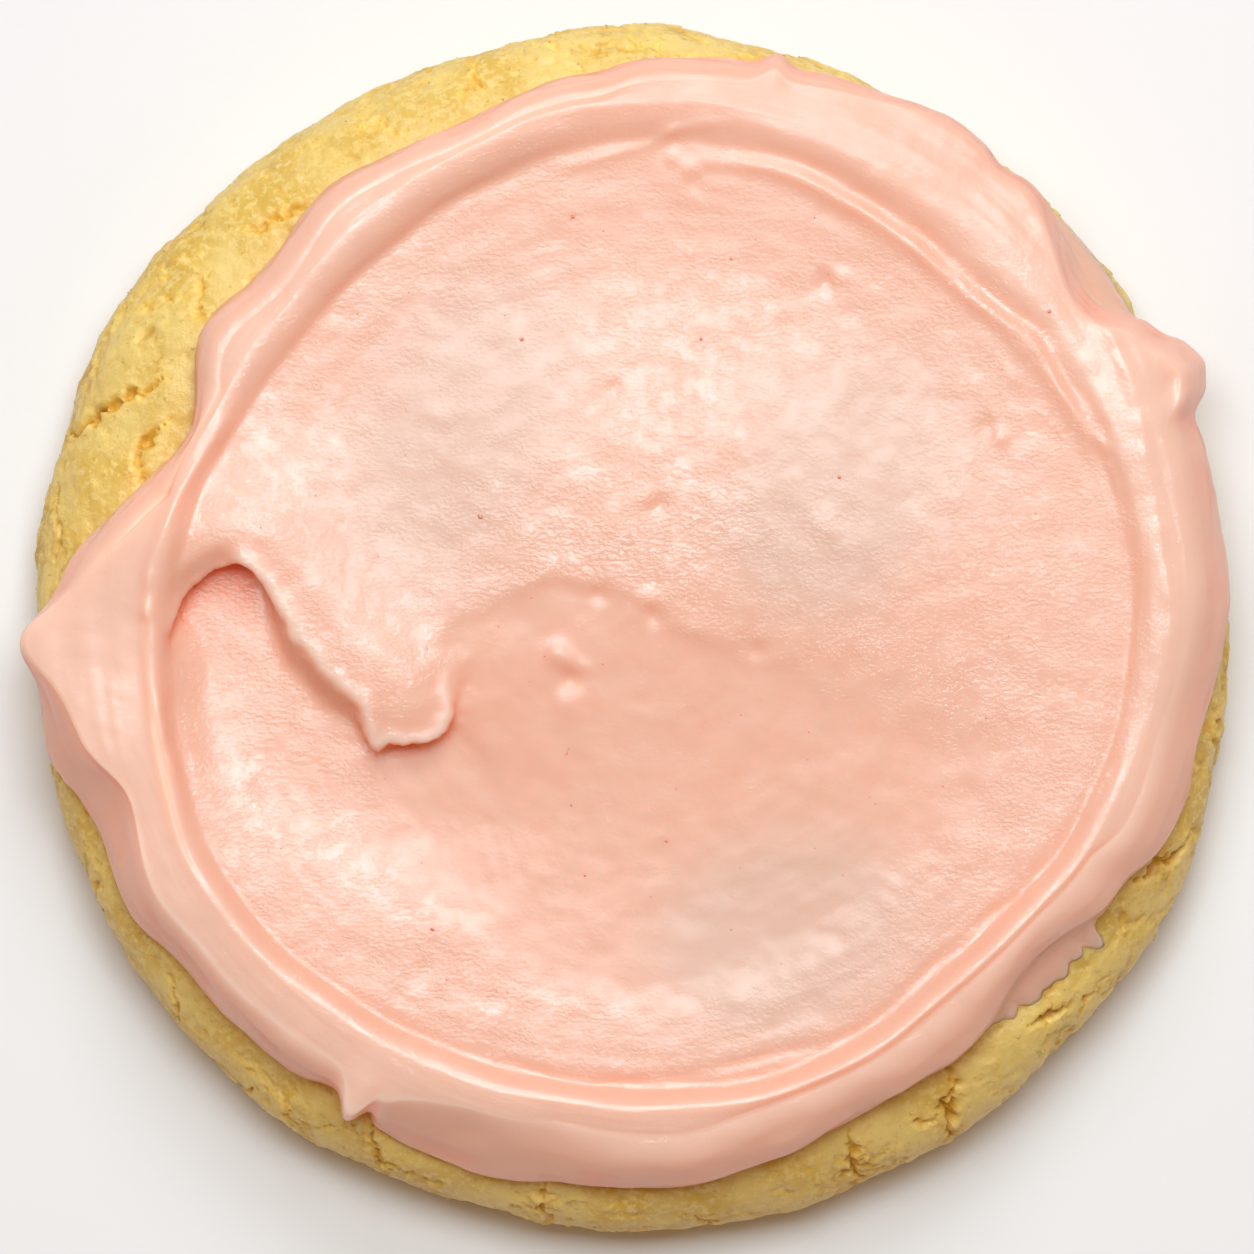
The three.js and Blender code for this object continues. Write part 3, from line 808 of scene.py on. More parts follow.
def nearest_on(x, y, line):
    """Signed distance to a line, positive on its right, and the line's values at the nearest place."""
    points = np.stack([x, y], axis=1)
    best = np.full(len(points), np.inf)
    signed = np.zeros(len(points))
    values = np.zeros((len(points), line.shape[1]))
    for a, b in zip(line, line[1:]):
        span = b[:2] - a[:2]
        length = np.hypot(*span)
        t = np.clip((points - a[:2]) @ span / length**2, 0, 1)
        away = points - (a[:2] + t[:, None] * span)
        gap = np.hypot(away[:, 0], away[:, 1])
        side = away[:, 0] * span[1] - away[:, 1] * span[0]
        nearer = gap < best
        best = np.where(nearer, gap, best)
        signed = np.where(nearer, np.copysign(gap, side), signed)
        values = np.where(nearer[:, None], a + t[:, None] * (b - a), values)
    return signed, values


# Ridges and grooves that the knife left: (stops, half width, rise). A stop is (x, y, strength).
knife_marks = [
    # the thin pinched crest on the left, with its blob
    (
        [
            (-35.5, 19.9, 0.3), (-37.4, 16.7, 0.7), (-39.9, 12.7, 0.7), (-41.3, 9.8, 0.45),
            (-42.2, 7.9, 0.5), (-43.0, 5.3, 0.9), (-43.2, 1.8, 1.5), (-42.8, 0.5, 0.7),
            (-43.0, -1.7, 0.7), (-42.8, -3.3, 0.9), (-42.3, -7.6, 0.9), (-41.7, -10.2, 0.8),
            (-40.8, -12.8, 0.6), (-39.8, -17.0, 0.0),
        ],
        0.62,
        0.6,
    ),
    # the mound's brow, where the knife turned back
    (
        [(-10, 2.6, 0.0), (-6, 4.3, 0.8), (-2.5, 3.4, 1.0), (0.5, 1.4, 1.0), (5, -0.4, 0.8), (11, -2.2, 0)],
        1.1,
        0.14,
    ),
    # the inner lip, top right, that the last turn laid over the first
    (
        [
            (7.9, 41.7, 0.5), (13.2, 41.1, 1.0), (19.1, 38.4, 1.0), (24.5, 35.0, 1.0),
            (28.7, 31.0, 1.0), (33.0, 27.9, 0.9), (35.9, 25.9, 0.9), (38.6, 21.3, 0.9),
            (41.2, 17.4, 0.7), (43.5, 15.6, 0.3),
        ],
        0.6,
        0.3,
    ),
    # and the dip outside it
    (
        [
            (8.2, 43.0, 0.2), (13.6, 42.3, 1.0), (19.6, 39.5, 1.0), (25.2, 36.0, 1.0),
            (29.5, 31.9, 1.0), (33.9, 28.7, 1.0), (36.9, 26.6, 1.0), (39.7, 21.9, 0.8),
            (42.4, 17.9, 0.5),
        ],
        0.95,
        -0.3,
    ),
    # a thin bright edge below the top ridge
    (
        [(-6.5, 41.1, 0.2), (-2.8, 42.2, 1.0), (1.7, 43.4, 0.7), (4.6, 44.8, 1.0), (9.4, 45.3, 0.0)],
        0.5,
        0.3,
    ),
    # soft laps on the right of the rim
    (
        [(40.6, 32.0, 0.2), (44.8, 22.0, 1.0), (47.4, 9.0, 1.0), (48.3, 0.0, 0.9), (47.0, -13.0, 0.3)],
        0.9,
        0.26,
    ),
    ([(43.5, 29.8, 0.3), (46.9, 21.0, 1.0), (49.4, 9.0, 0.8), (50.0, -2.0, 0.4)], 0.8, 0.18),
    ([(36.8, 38.0, 0.2), (39.5, 31.5, 1.0), (43.2, 26.0, 0.8), (46.4, 20.0, 0.3)], 0.8, 0.26),
    ([(20.3, 48.9, 0.3), (31.6, 42.9, 1.0), (35.8, 38.3, 1.0), (39.0, 32.6, 0.5)], 0.8, 0.22),
    # the lobe's own ridge, folded over
    (
        [(44.5, 27.0, 0.2), (47.5, 25.6, 0.9), (50.2, 24.3, 1.0), (51.6, 22.6, 1.0), (51.8, 20.9, 0.4)],
        0.95,
        0.6,
    ),
    # the groove along the bottom
    (
        [
            (-11.2, -38.7, 0.3), (-5.8, -40.8, 1.0), (-1.6, -40.9, 1.0), (3.8, -40.2, 1.0),
            (9.3, -39.2, 1.0), (17.4, -37.1, 0.9), (21.8, -35.2, 0.7), (31.1, -26.5, 0.7),
            (36.9, -22.7, 0.6), (44.1, -11.9, 0.3),
        ],
        0.42,
        -0.26,
    ),
]

# Small dimples and blobs of the surface: (x, y, spread, rise).
dimples = [
    (2.6, 11.0, 0.8, -0.25), (1.6, 11.6, 0.7, 0.16), (17.6, 30.9, 1.0, -0.3),
    (18.6, 31.3, 0.7, 0.2), (31.9, 17.8, 1.0, -0.25), (33.1, 17.2, 0.7, 0.22),
    (-1.4, 21.4, 0.8, -0.22), (1.7, 2.5, 0.9, 0.22), (2.3, 1.2, 0.9, -0.3),
    (-2.8, 3.0, 0.9, -0.2), (11.2, -1.8, 1.1, -0.24), (11.6, -1.0, 0.7, 0.16),
    (-6.6, -2.3, 1.0, 0.4), (-5.4, -3.0, 1.0, 0.3), (-4.2, -3.6, 0.6, 0.2),
    (-5.4, -4.6, 0.9, -0.42), (-5.9, -7.2, 1.1, 0.08), (17.6, 9.1, 1.2, 0.1),
    (-16.4, 9.1, 1.2, 0.1), (-18.6, -31.0, 1.2, -0.14), (5.4, 41.2, 1.1, 0.2),
    (3.8, 42.2, 0.6, 0.18), (7.0, 41.9, 0.6, 0.15), (5.6, 40.0, 0.7, -0.15),
    (48.9, 21.8, 1.5, -0.6),  # the crease under the lobe's ridge
]


def knife_streaks(x, y):
    """Fine arcs that run with the knife's turn, strongest on the rim."""
    dx, dy = x - dish_middle[0], y - dish_middle[1]
    turn_reach = np.hypot(dx, dy)
    unit = np.maximum(turn_reach, 1e-6)
    points = np.stack([dx / unit * 4.0, dy / unit * 4.0, turn_reach / 0.9], axis=1)
    streak = fractal_noise(points, 1.0, 3, 2.0)
    broad = np.stack([dx / unit * 3.0, dy / unit * 3.0, turn_reach / 2.6], axis=1)
    wide = fractal_noise(broad, 1.0, 2, 9.0)
    strength = mix(0.012, 0.028, ease(turn_reach, 33, 42))
    return streak * strength + wide * mix(0.025, 0.04, ease(turn_reach, 34, 44))


# Each (bearing, spread in degrees, rise): the lip of the dish's edge, where the bank is gentle rather
# than steep, and where the rim is pinched and falls away behind its crest.
lip_swells = [(50, 18, 0.35), (285, 40, -0.2)]
gentle_swells = [(285, 32, 1.0), (50, 24, 1.0), (188, 22, 1.0)]
pinch_swells = [(180, 22, 0.5)]


def frosting_top(bearing, reach):
    x, y = reach * cosine(bearing), reach * sine(bearing)
    edge, top, out = dish_edge(bearing), crest(bearing), rim_shoulder(bearing)
    lipped = swell(bearing, lip_swells) * np.exp(-(((reach - edge) / 0.8) ** 2))
    inner = dish(x, y)
    climb = np.clip((reach - edge) / (top - edge), 0, 1)
    steep = (1 - (1 - climb) ** 2) * ease(climb, -0.1, 0.3)
    gentle = np.clip(swell(bearing, gentle_swells), 0, 1)
    bank = mix(inner, crest_height(bearing), mix(steep, ease(climb, 0, 1), gentle))
    beyond = np.clip((reach - top) / (out - top), 0, 1)
    fallen = swell(bearing, pinch_swells) * (1 - np.exp(-(((reach - top) / 0.9) ** 2)))
    rim = mix(crest_height(bearing), shoulder_height(bearing), beyond**1.5)
    rim -= fallen * (1 - beyond)
    cx, cy, sx, sy, rise = lobe_rise
    rim += rise * np.exp(-0.5 * (((x - cx) / sx) ** 2 + ((y - cy) / sy) ** 2))
    return np.where(reach <= edge, inner + lipped, np.where(reach <= top, bank + lipped, rim))


# The stroke's edge, from the rim over the arch, down the flap's side, round its tip and out into
# the dish. A stop is (x, y, overhang). A negative overhang leans outwards as a slope.
stroke_edge = smooth_line(
    [
        (-43.9, -9.0, 0.0), (-43.2, -4.5, 0.0), (-42.2, -1.2, 0.2), (-40.7, 0.9, 0.6),
        (-40.1, 2.5, 0.6), (-38.8, 4.0, 0.7), (-37.0, 5.2, 0.8), (-35.5, 5.7, 0.9),
        (-34.2, 5.3, 0.7), (-33.1, 4.2, 0.4), (-32.3, 3.0, 0.0), (-31.2, 1.1, -0.4),
        (-30.2, -1.0, -0.7), (-28.4, -2.9, -0.8), (-27.1, -4.5, -0.8), (-25.7, -5.8, -0.8),
        (-24.3, -7.0, -0.6), (-23.8, -8.8, -0.2), (-23.6, -10.2, 0.3), (-22.6, -11.1, 0.6),
        (-21.8, -10.4, 0.6), (-20.3, -10.5, 0.6), (-18.4, -10.4, 0.5), (-17.0, -9.7, 0.3),
        (-16.1, -8.4, 0.0), (-15.8, -6.9, -0.3), (-15.9, -5.0, -0.5), (-15.2, -3.2, -0.5),
        (-13.6, -1.5, -0.5),
    ],
    6,
)
cliff_width = 1.4

# The stroke's hollow beside that edge, along its own middle line: (x, y, depth).
stroke_floor = smooth_line(
    [
        (-37.0, 1.5, 2.0), (-34.8, -2.5, 1.8), (-31.0, -7.0, 1.5), (-26.5, -11.5, 1.3),
        (-21.0, -14.0, 1.1), (-15.0, -14.0, 0.7), (-10.0, -12.0, 0.3), (-5.0, -9.0, 0.0),
    ],
    6,
)
stroke_spread = 8.5

# The flap that the knife pulled up above the dish, along its middle: (x, y, rise).
flap_middle = smooth_line(
    [
        (-45.0, -4.0, 0.0), (-44.0, 0.0, 0.3), (-42.6, 4.2, 0.9), (-40.0, 7.3, 1.6),
        (-36.6, 8.6, 1.9), (-33.4, 8.0, 1.9), (-30.6, 5.4, 1.7), (-28.0, 1.9, 1.7),
        (-25.2, -1.4, 1.8), (-22.2, -4.4, 1.9), (-19.6, -7.2, 1.8), (-18.6, -10.0, 1.4),
    ],
    6,
)
flap_spread = 5.0
flap_run = 6.0


def along_line(x, y, line, spread):
    """A flat-topped rise along a line, with its height there as the line's third value."""
    _, values = nearest_on(x, y, line)
    gap = np.hypot(x - values[:, 0], y - values[:, 1])
    return values[:, 2] / (1 + (gap / spread) ** 4)


def flap_rise(x, y):
    """The flap is level towards the stroke's edge and runs out gently on its other side."""
    signed, values = nearest_on(x, y, flap_middle)
    gap = np.hypot(x - values[:, 0], y - values[:, 1])
    level = 1 / (1 + (gap / flap_spread) ** 4)
    gentle = (1 - ease(gap, 8, 16)) / (1 + (gap / flap_run) ** 2) ** 1.5
    return values[:, 2] * np.where(signed > 0, level, gentle)


# The edge of the smooth bowl that the last stroke wiped into the mound: (x, y, softness).
bowl_edge = smooth_line(
    [
        (-15.5, 0.8, 2.5), (-8.9, 4.3, 1.3), (-2.4, 4.3, 1.2), (3.4, 0.9, 1.4),
        (11.3, -1.4, 3.0), (24.3, -4.3, 6.0), (33.0, -7.8, 8.0), (35.0, -13.5, 8.0),
        (30.0, -19.5, 6.0), (23.6, -25.0, 4.0), (14.5, -31.6, 3.0), (1.2, -34.6, 3.0),
        (-9.5, -31.8, 3.5), (-19.1, -24.5, 4.5), (-24.6, -16.5, 5.0), (-22.0, -9.5, 4.0),
        (-18.0, -3.0, 3.0), (-15.5, 0.8, 2.5),
    ],
    5,
)
bowl_step = 0.26


def bowl_share(x, y):
    """1 inside the bowl, 0 outside it, and between the two across its edge's softness."""
    signed, values = nearest_on(x, y, bowl_edge)
    signed += 0.7 * fractal_noise(np.stack([x, y, 0 * x], axis=1), 2.6, 2, 61.0)
    return ease(signed, -0.3 * values[:, 2], values[:, 2])


def within(value, low, high):
    return (value > low) & (value < high)


def knife_mark_relief(x, y):
    """How far the marks raise each point, and how much painted glow the thin pinched crest gets there, from
    0 to 1.
    """
    relief = np.zeros_like(x)
    thin_glow = np.zeros_like(x)
    broken = fractal_noise(np.stack([x, y, 0 * x], axis=1), 4.0, 2, 41.0)
    for stops, half_width, rise in knife_marks:
        line = smooth_line(stops, 6)
        margin = 4 * half_width + 1
        lows, highs = line[:, :2].min(0) - margin, line[:, :2].max(0) + margin
        near = within(x, lows[0], highs[0]) & within(y, lows[1], highs[1])
        signed, values = nearest_on(x[near], y[near], line)
        bell = np.exp(-np.abs(signed / half_width) ** 1.6) * values[:, 2]
        bell *= 0.8 + 0.5 * broken[near]
        relief[near] += rise * bell
        if half_width < 0.7 and rise > 0.35:
            thin_glow[near] = np.maximum(thin_glow[near], bell)
    for cx, cy, spread, rise in dimples:
        relief += rise * np.exp(-((x - cx) ** 2 + (y - cy) ** 2) / spread**2)
    return relief, thin_glow


# The frosting's skin is drawn by a share: 0 to 1 over the dish, 1 to 2 up the bank, 2 to 3 over the
# rim, 3 to 4 down the wall, 4 to 5 under it to the foot, 5 to 6 back under the frosting.
dish_rings = 104
bank_rings = 11
rim_rings = 22
wall_rings = 20
tuck_rings = 12
under_rings = 10
wall_columns = 960
belly_lift = 0.3

shares = [0.0]
columns = [1]
for k in range(1, dish_rings + 1):
    shares.append(k / dish_rings)
    columns.append(wall_columns if k == dish_rings else int(6.2 * k))
for start, count in ((1, bank_rings), (2, rim_rings), (3, wall_rings), (4, tuck_rings)):
    for k in range(1, count + 1):
        shares.append(start + k / count)
        columns.append(wall_columns)
for k in range(1, under_rings + 1):
    shares.append(5 + k / under_rings)
    columns.append(1 if k == under_rings else 24 * (under_rings - k))

share = np.concatenate([np.full(n, s) for s, n in zip(shares, columns)])
bearing = np.concatenate([np.arange(n) * 360 / n for n in columns])
faces = stitch(columns)

edge = dish_edge(bearing)
top_reach = np.where(
    share < 1,
    share * edge,
    np.where(
        share < 2,
        mix(edge, crest(bearing), share - 1),
        mix(crest(bearing), rim_shoulder(bearing), np.clip(share - 2, 0, 1)),
    ),
)
on_top = share <= 3
turn = np.clip(share - 3, 0, 1) * math.pi / 2
tuck_turn = np.clip(share - 4, 0, 1) * math.pi / 2
foot = foot_reach(bearing)
sunk_in = 0.25
foot_height = biscuit_top(foot, bearing) - sunk_in
straight = wall_straightness(bearing)
waist_lift = belly_lift * (1.6 - 0.6 * straight)
wall_foot = np.minimum(foot, outline(bearing) - wall_tuck)
waist = mix(biscuit_top(wall_foot, bearing), shoulder_height(bearing), waist_lift)
wall_reach = mix(rim_shoulder(bearing), outline(bearing), np.sin(turn) ** straight)
wall_height = mix(waist, shoulder_height(bearing), np.cos(turn) ** straight)

# The wall tucks in to its foot, but where there is a film it runs out over the flank instead.
spreading = ease(foot - outline(bearing), -0.5, 0.4)
along_tuck = np.clip(share - 4, 0, 1)
tuck_reach = mix(outline(bearing), foot, mix(1 - np.cos(tuck_turn), along_tuck, spreading))
tucked_height = mix(waist, foot_height, np.sin(tuck_turn))
clear = waist - biscuit_top(outline(bearing), bearing) - film_thickness
film_height = (
    biscuit_top(tuck_reach, bearing)
    + film_thickness
    + clear * (1 - along_tuck) ** 3
    - (film_thickness + sunk_in) * along_tuck**6
)
tuck_height = mix(tucked_height, film_height, spreading)
back = 1 - np.clip(share - 5, 0, 1) ** 1.5
under_reach = foot * back
under_height = biscuit_top(under_reach, bearing) - sunk_in

reach = np.select(
    [on_top, share <= 4, share <= 5], [top_reach, wall_reach, tuck_reach], under_reach
)
height = np.select(
    [on_top, share <= 4, share <= 5],
    [frosting_top(bearing, top_reach), wall_height, tuck_height],
    under_height,
)
x, y = reach * cosine(bearing), reach * sine(bearing)

relief, thin_glow = knife_mark_relief(x, y)
in_bowl = np.zeros_like(x)
in_bowl[share < 1] = bowl_share(x[share < 1], y[share < 1])
relief -= bowl_step * in_bowl
streaks = knife_streaks(x, y)
shown = 1 - ease(share, 2.85, 3.35)
lump_rise = 0.045
soft_lumps = fractal_noise(np.stack([x, y, height], axis=1), 3.2, 2, 14.0) * lump_rise
height += (relief + streaks) * shown + soft_lumps * (share < 4)

# The stroke: the floor sinks beside the edge, and the points of the cliff are drawn in under the
# edge, so that its wall stands steep or overhangs. The cliff fades out where the flap ends.
near = (share < 3) & within(x, -52, 0) & within(y, -34, 26)
near_x, near_y = x[near], y[near]
plain, values = nearest_on(near_x, near_y, stroke_edge)
jag = fractal_noise(np.stack([near_x, near_y, height[near]], axis=1), 1.3, 3, 23.0)
signed = plain + jag * mix(0.1, 0.22, ease(near_x, -34, -31))
overhang = values[:, 2]
width = cliff_width + 1.3 * np.clip(-overhang, 0, 1) + 8 * ease(near_x, -15.5, -10.5)
in_dish = 1 - ease(reach[near], dish_edge(bearing[near]) - 3.2, crest(bearing[near]))
raised = flap_rise(near_x, near_y)
hollowed = along_line(near_x, near_y, stroke_floor, stroke_spread) * in_dish
sunk = hollowed + raised
lip = np.exp(-(((signed + 0.5) / 0.7) ** 2)) * ease(sunk, 0.4, 2.0)
arch_leg = 1 - ease(near_x, -37.0, -34.5)
bevel = arch_leg * ease(signed, -2.3, -0.2) * ease(sunk, 0.8, 2.4)
lip *= 1 - arch_leg
drop = np.maximum(sunk, bevel)
lip_rise = 0.28
height[near] += raised + lip_rise * lip - mix(bevel, drop, ease(signed / width, 0, 1))
drawn_in = cliff_width * 0.75 + overhang
fade = 1 - ease(signed, cliff_width, cliff_width + 3.0)
lean = np.where(
    signed > cliff_width,
    drawn_in * fade,
    drawn_in * np.clip(signed / cliff_width, 0, 1),
)
lean *= ease(sunk, 0.2, 1.6) * (1 - ease(near_x, -15.5, -12.5))
ahead = 0.05
slope_x, _ = nearest_on(near_x + ahead, near_y, stroke_edge)
slope_y, _ = nearest_on(near_x, near_y + ahead, stroke_edge)
slope = np.stack([slope_x - plain, slope_y - plain], axis=1)
slope /= np.maximum(np.linalg.norm(slope, axis=1), 1e-9)[:, None]
x[near] -= slope[:, 0] * lean
y[near] -= slope[:, 1] * lean

# Long soft folds down the wall.
wall = ease(share, 3.0, 3.5) * (1 - ease(share, 4.6, 5.0))
folds = fractal_noise(
    np.stack([cosine(bearing) * 14, sine(bearing) * 14, height], axis=1), 2.2, 3, 17.0
)
creases = fractal_noise(
    np.stack([cosine(bearing) * 5, sine(bearing) * 5, height * 1.1], axis=1), 1.0, 2, 47.0
)
bulge = (0.2 * folds + 0.12 * creases) * wall
x += bulge * cosine(bearing)
y += bulge * sine(bearing)

frosting = piece_of("frosting_spread", np.stack([x, y, height], axis=1), faces)
# Painted light: the thin pinched crest, the drawn-out points and the brow of the wall, where the light
# shines through, are painted paler, and the flap's lip gets a painted highlight.
thin_edge_glow = swell(
    bearing,
    [(179.5, 2.5, 0.8), (240.5, 2.0, 1.2), (325.5, 2.5, 0.4), (319, 4, 0.2), (24.8, 4, 0.4)],
)
thin_brow_glow = swell(bearing, [(212, 18, 0.9), (250, 8, 0.8), (38, 6, 0.5)])
thin_brow_glow *= np.exp(-(((share - 2.98) / 0.14) ** 2))
thin_glow = np.clip(thin_glow * 0.6 + thin_edge_glow * ease(share, 2.6, 3.6) + thin_brow_glow, 0, 1)
thin_glow[near] = np.maximum(thin_glow[near], 0.8 * lip)
paint(frosting, "thin_glow", thin_glow)
# Patches where the frosting is spread so thin that the biscuit greys it: (x, y, spread).
sheer_patches = [(-19, 12, 10), (-12, 24, 9), (21, 17, 10), (16, 8, 8), (18, -26, 9), (9, -29, 8)]
sheer = np.zeros_like(x)
for cx, cy, spread in sheer_patches:
    sheer += np.exp(-((x - cx) ** 2 + (y - cy) ** 2) / spread**2)
paint(frosting, "sheer", np.clip(sheer, 0, 1))


def sky_hidden(piece, reach_mm, rounds):
    """For each point, the share of the sky above it that the piece itself hides within a reach."""
    mesh = piece.data
    tree = BVHTree.FromPolygons(
        [v.co for v in mesh.vertices], [tuple(p.vertices) for p in mesh.polygons]
    )
    ways = []
    for tilt, count in rounds:
        for k in range(count):
            way = Vector((math.sin(tilt), 0, math.cos(tilt)))
            way.rotate(Euler((0, 0, TURN * (k + tilt) / count)))
            ways.append(way)
    hidden = np.zeros(len(mesh.vertices))
    for vertex in mesh.vertices:
        start = vertex.co + vertex.normal * 0.06 * MM
        blocked = sum(
            tree.ray_cast(start, way, reach_mm * MM)[0] is not None for way in ways
        )
        hidden[vertex.index] = blocked / len(ways)
    return hidden


# Painted shade: where the frosting's own shape hides the sky, its colour is painted a deeper orange.
shaded = sky_hidden(frosting, 9, [(0.25, 4), (0.75, 6), (1.2, 8)])
shaded[share > 5] = 1
# Less painted shade on the flap's left side, which is thin and stands in the light, so the light shines
# through it.
flap_side = (share < 3) & within(x, -33.5, -22.5) & within(y, -11.5, 4.5)
shaded[flap_side] *= 0.45
# Less painted shade on the film on the flank, which lies open to the light; the film at the lower right is
# given painted shade, a deeper pink.
shaded[share <= 5] *= (1 - 0.6 * spreading * ease(share, 3.7, 4.1))[share <= 5]
painted_film_shade = 0.18 * swell(bearing, [(320, 8, 1.0)]) * ease(share, 3.8, 4.2)
shaded = np.where(share <= 5, np.maximum(shaded, painted_film_shade), shaded)
paint(frosting, "shaded", shaded)
# Where the wet film over the frosting glints: most on the brow above the bowl, and least in the wiped
# bowl, on the sheer patches and on the rim's far right.
brow_gleam = np.exp(-(((x - 1.0) / 15) ** 2) - ((y - 8.5) / 4.5) ** 2)
far_right = ease(y, 28, 42) * ease(x, -20, 5)
pulled = 0.47 + 0.53 * brow_gleam - 0.15 * ease(share, 1.0, 2.0) - 0.37 * np.clip(sheer, 0, 1)
lobe_top = swell(bearing, [(190, 18, 1.0)]) * ease(share, 1.6, 2.2)
pulled -= 0.2 * lobe_top
pulled *= (1 - 0.85 * in_bowl) * (1 - 0.7 * far_right) * (1 - 0.75 * ease(share, 2.95, 3.5))
paint(frosting, "pulled", np.clip(pulled, 0, 1))
# Painted sheen: the rim is painted paler, less down the wall and at the far right.
painted_rim_sheen = ease(share, 1.2, 2.2) * (1 - 0.7 * ease(share, 3.0, 3.4)) * (1 - 0.85 * far_right)
paint(frosting, "painted_rim_sheen", painted_rim_sheen)
# How strongly the skin is wrinkled.
wrinkled = (1 - 0.75 * in_bowl) * (1 - 0.35 * np.clip(sheer, 0, 1)) * (0.7 + 0.3 * brow_gleam)
wrinkled *= mix(1, 0.5, ease(share, 1.0, 2.0)) * (1 - 0.6 * ease(share, 3.0, 3.6))
wrinkled *= 1 - 0.75 * lobe_top
paint(frosting, "wrinkled", wrinkled)
# The smear at the upper right is so thin that the crust browns it.
smear = swell(bearing, [(37, 7, 1.0)]) * ease(share, 3.8, 4.3)
paint(frosting, "smear", np.clip(smear, 0, 1))


def frosting_material():
    material, nodes, links, shader = new_material("pink_butter_frosting")
    place = nodes.new("ShaderNodeTexCoord").outputs["Object"]
    pink = colour_of(240, 184, 160)
    pale = colour_of(214, 185, 166)
    rosy = colour_of(243, 178, 150)
    clouds = ramp(nodes, links, noise_node(nodes, links, place, 7.0, 3.0), 0.35, 0.7, 0, 0.35)
    surface = mix_colour(nodes, links, clouds, pink, rosy)
    sheer = ramp(nodes, links, attribute_of(nodes, "sheer"), 0.0, 1.0, 0.0, 0.55)
    surface = mix_colour(nodes, links, sheer, surface, pale)
    # painted light: paler where light would shine through thin parts, and a painted highlight on the flap's
    # lip
    glow_amount = ramp(nodes, links, attribute_of(nodes, "thin_glow"), 0.2, 1.0, 0.0, 0.7)
    surface = mix_colour(nodes, links, glow_amount, surface, colour_of(250, 222, 206))
    smeared = ramp(nodes, links, attribute_of(nodes, "smear"), 0.2, 0.9, 0.0, 0.6)
    surface = mix_colour(nodes, links, smeared, surface, colour_of(222, 168, 138))
    # painted sheen: the rim painted paler
    painted_rim_sheen = ramp(nodes, links, attribute_of(nodes, "painted_rim_sheen"), 0.0, 1.0, 0.0, 0.6)
    surface = mix_colour(nodes, links, painted_rim_sheen, surface, colour_of(247, 205, 184))
    # painted shade: a deeper orange where the frosting hides its own sky
    shaded = ramp(nodes, links, attribute_of(nodes, "shaded"), 0.14, 0.8, 0.0, 0.95)
    surface = mix_colour(nodes, links, shaded, surface, colour_of(246, 132, 87))
    links.new(surface, shader.inputs["Base Color"])
    shader.subsurface_method = "BURLEY"
    shader.inputs["Subsurface Weight"].default_value = 1.0
    shader.inputs["Subsurface Radius"].default_value = (1.0, 0.27, 0.15)
    shader.inputs["Subsurface Scale"].default_value = 3.6 * MM
    gloss = ramp(nodes, links, noise_node(nodes, links, place, 3.0, 3.0), 0.35, 0.7, 0.3, 0.42)
    links.new(gloss, shader.inputs["Roughness"])
    turned = nodes.new("ShaderNodeMapping")
    turned.inputs["Rotation"].default_value = (0, 0, math.radians(24))
    turned.inputs["Scale"].default_value = (0.72, 1, 1)
    links.new(place, turned.inputs["Vector"])
    dragged = turned.outputs["Vector"]
    ripple = noise_node(nodes, links, dragged, 2.4, 4.0, 0.5)

    # fine wrinkles of the skin, in patches
    creased = ramp(
        nodes, links, noise_node(nodes, links, dragged, 0.34, 1.5, 0.5), 0.25, 0.75, -0.5, 0.5
    )
    patches = ramp(nodes, links, noise_node(nodes, links, place, 1.9, 3.0), 0.4, 0.62, 0.15, 1.0)
    wrinkled = multiplied(nodes, links, patches, attribute_of(nodes, "wrinkled"))
    wrinkles = multiplied(nodes, links, creased, wrinkled)
    bump_chain(nodes, links, [(ripple, 0.06, 0.5), (wrinkles, 0.024, 1.0)], shader)

    # a wet film over it, that glints where the knife pulled the surface
    uneven = ramp(nodes, links, noise_node(nodes, links, place, 4.0, 3.0), 0.35, 0.6, 0.6, 1.0)
    wet = multiplied(nodes, links, uneven, attribute_of(nodes, "pulled"))
    links.new(wet, shader.inputs["Coat Weight"])
    shader.inputs["Coat Roughness"].default_value = 0.09
    shader.inputs["Coat IOR"].default_value = 1.65
    dimpled = noise_node(nodes, links, dragged, 1.0, 2.0, 0.5)
    bump_chain(nodes, links, [(dimpled, 0.06, 1.0), (wrinkles, 0.22, 1.0)], shader, "Coat Normal")
    return material


frosting.data.materials.append(frosting_material())
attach(frosting, "root")
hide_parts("frosting")


# ------------------------------------------------------------------ specks of dye in the frosting
# A few grains of red colouring that never dissolved, and many fainter ones, caught in the frosting's
# skin. The large ones lie where the photo shows them: (x, y, radius).

dye_specks = [
    (-5.2, 36.9, 0.30), (-9.8, 25.9, 0.30), (6.3, 25.9, 0.22), (-13.5, 10.0, 0.34),
    (18.7, 13.5, 0.24), (-17.8, -27.0, 0.28), (-4.1, -22.2, 0.16), (3.2, -19.1, 0.22),
    (-5.3, -15.9, 0.16), (37.5, 28.4, 0.26), (-16.5, -31.5, 0.16), (9.0, 33.1, 0.2),
]
faint_specks = 60
faint_size = (0.06, 0.13)


def speck_material():
    material, nodes, links, shader = new_material("red_dye_grain")
    place = nodes.new("ShaderNodeTexCoord").outputs["Object"]
    worn = ramp(nodes, links, noise_node(nodes, links, place, 0.3, 2.0), 0.35, 0.65)
    grain_colour = mix_colour(nodes, links, worn, colour_of(240, 112, 78), colour_of(247, 158, 128))
    links.new(grain_colour, shader.inputs["Base Color"])
    shader.inputs["Roughness"].default_value = 0.35
    shader.inputs["Specular IOR Level"].default_value = 0.8
    return material


def on_frosting(spots, sunk):
    """Points on the frosting's skin under each (x, y), a little below it."""
    placed = []
    for x, y in spots:
        hit, normal, _, _ = skin_tree.ray_cast(Vector((x, y, 40)) * MM, Vector((0, 0, -1)))
        placed.append(tuple((hit - normal * sunk * MM) / MM))
    return placed


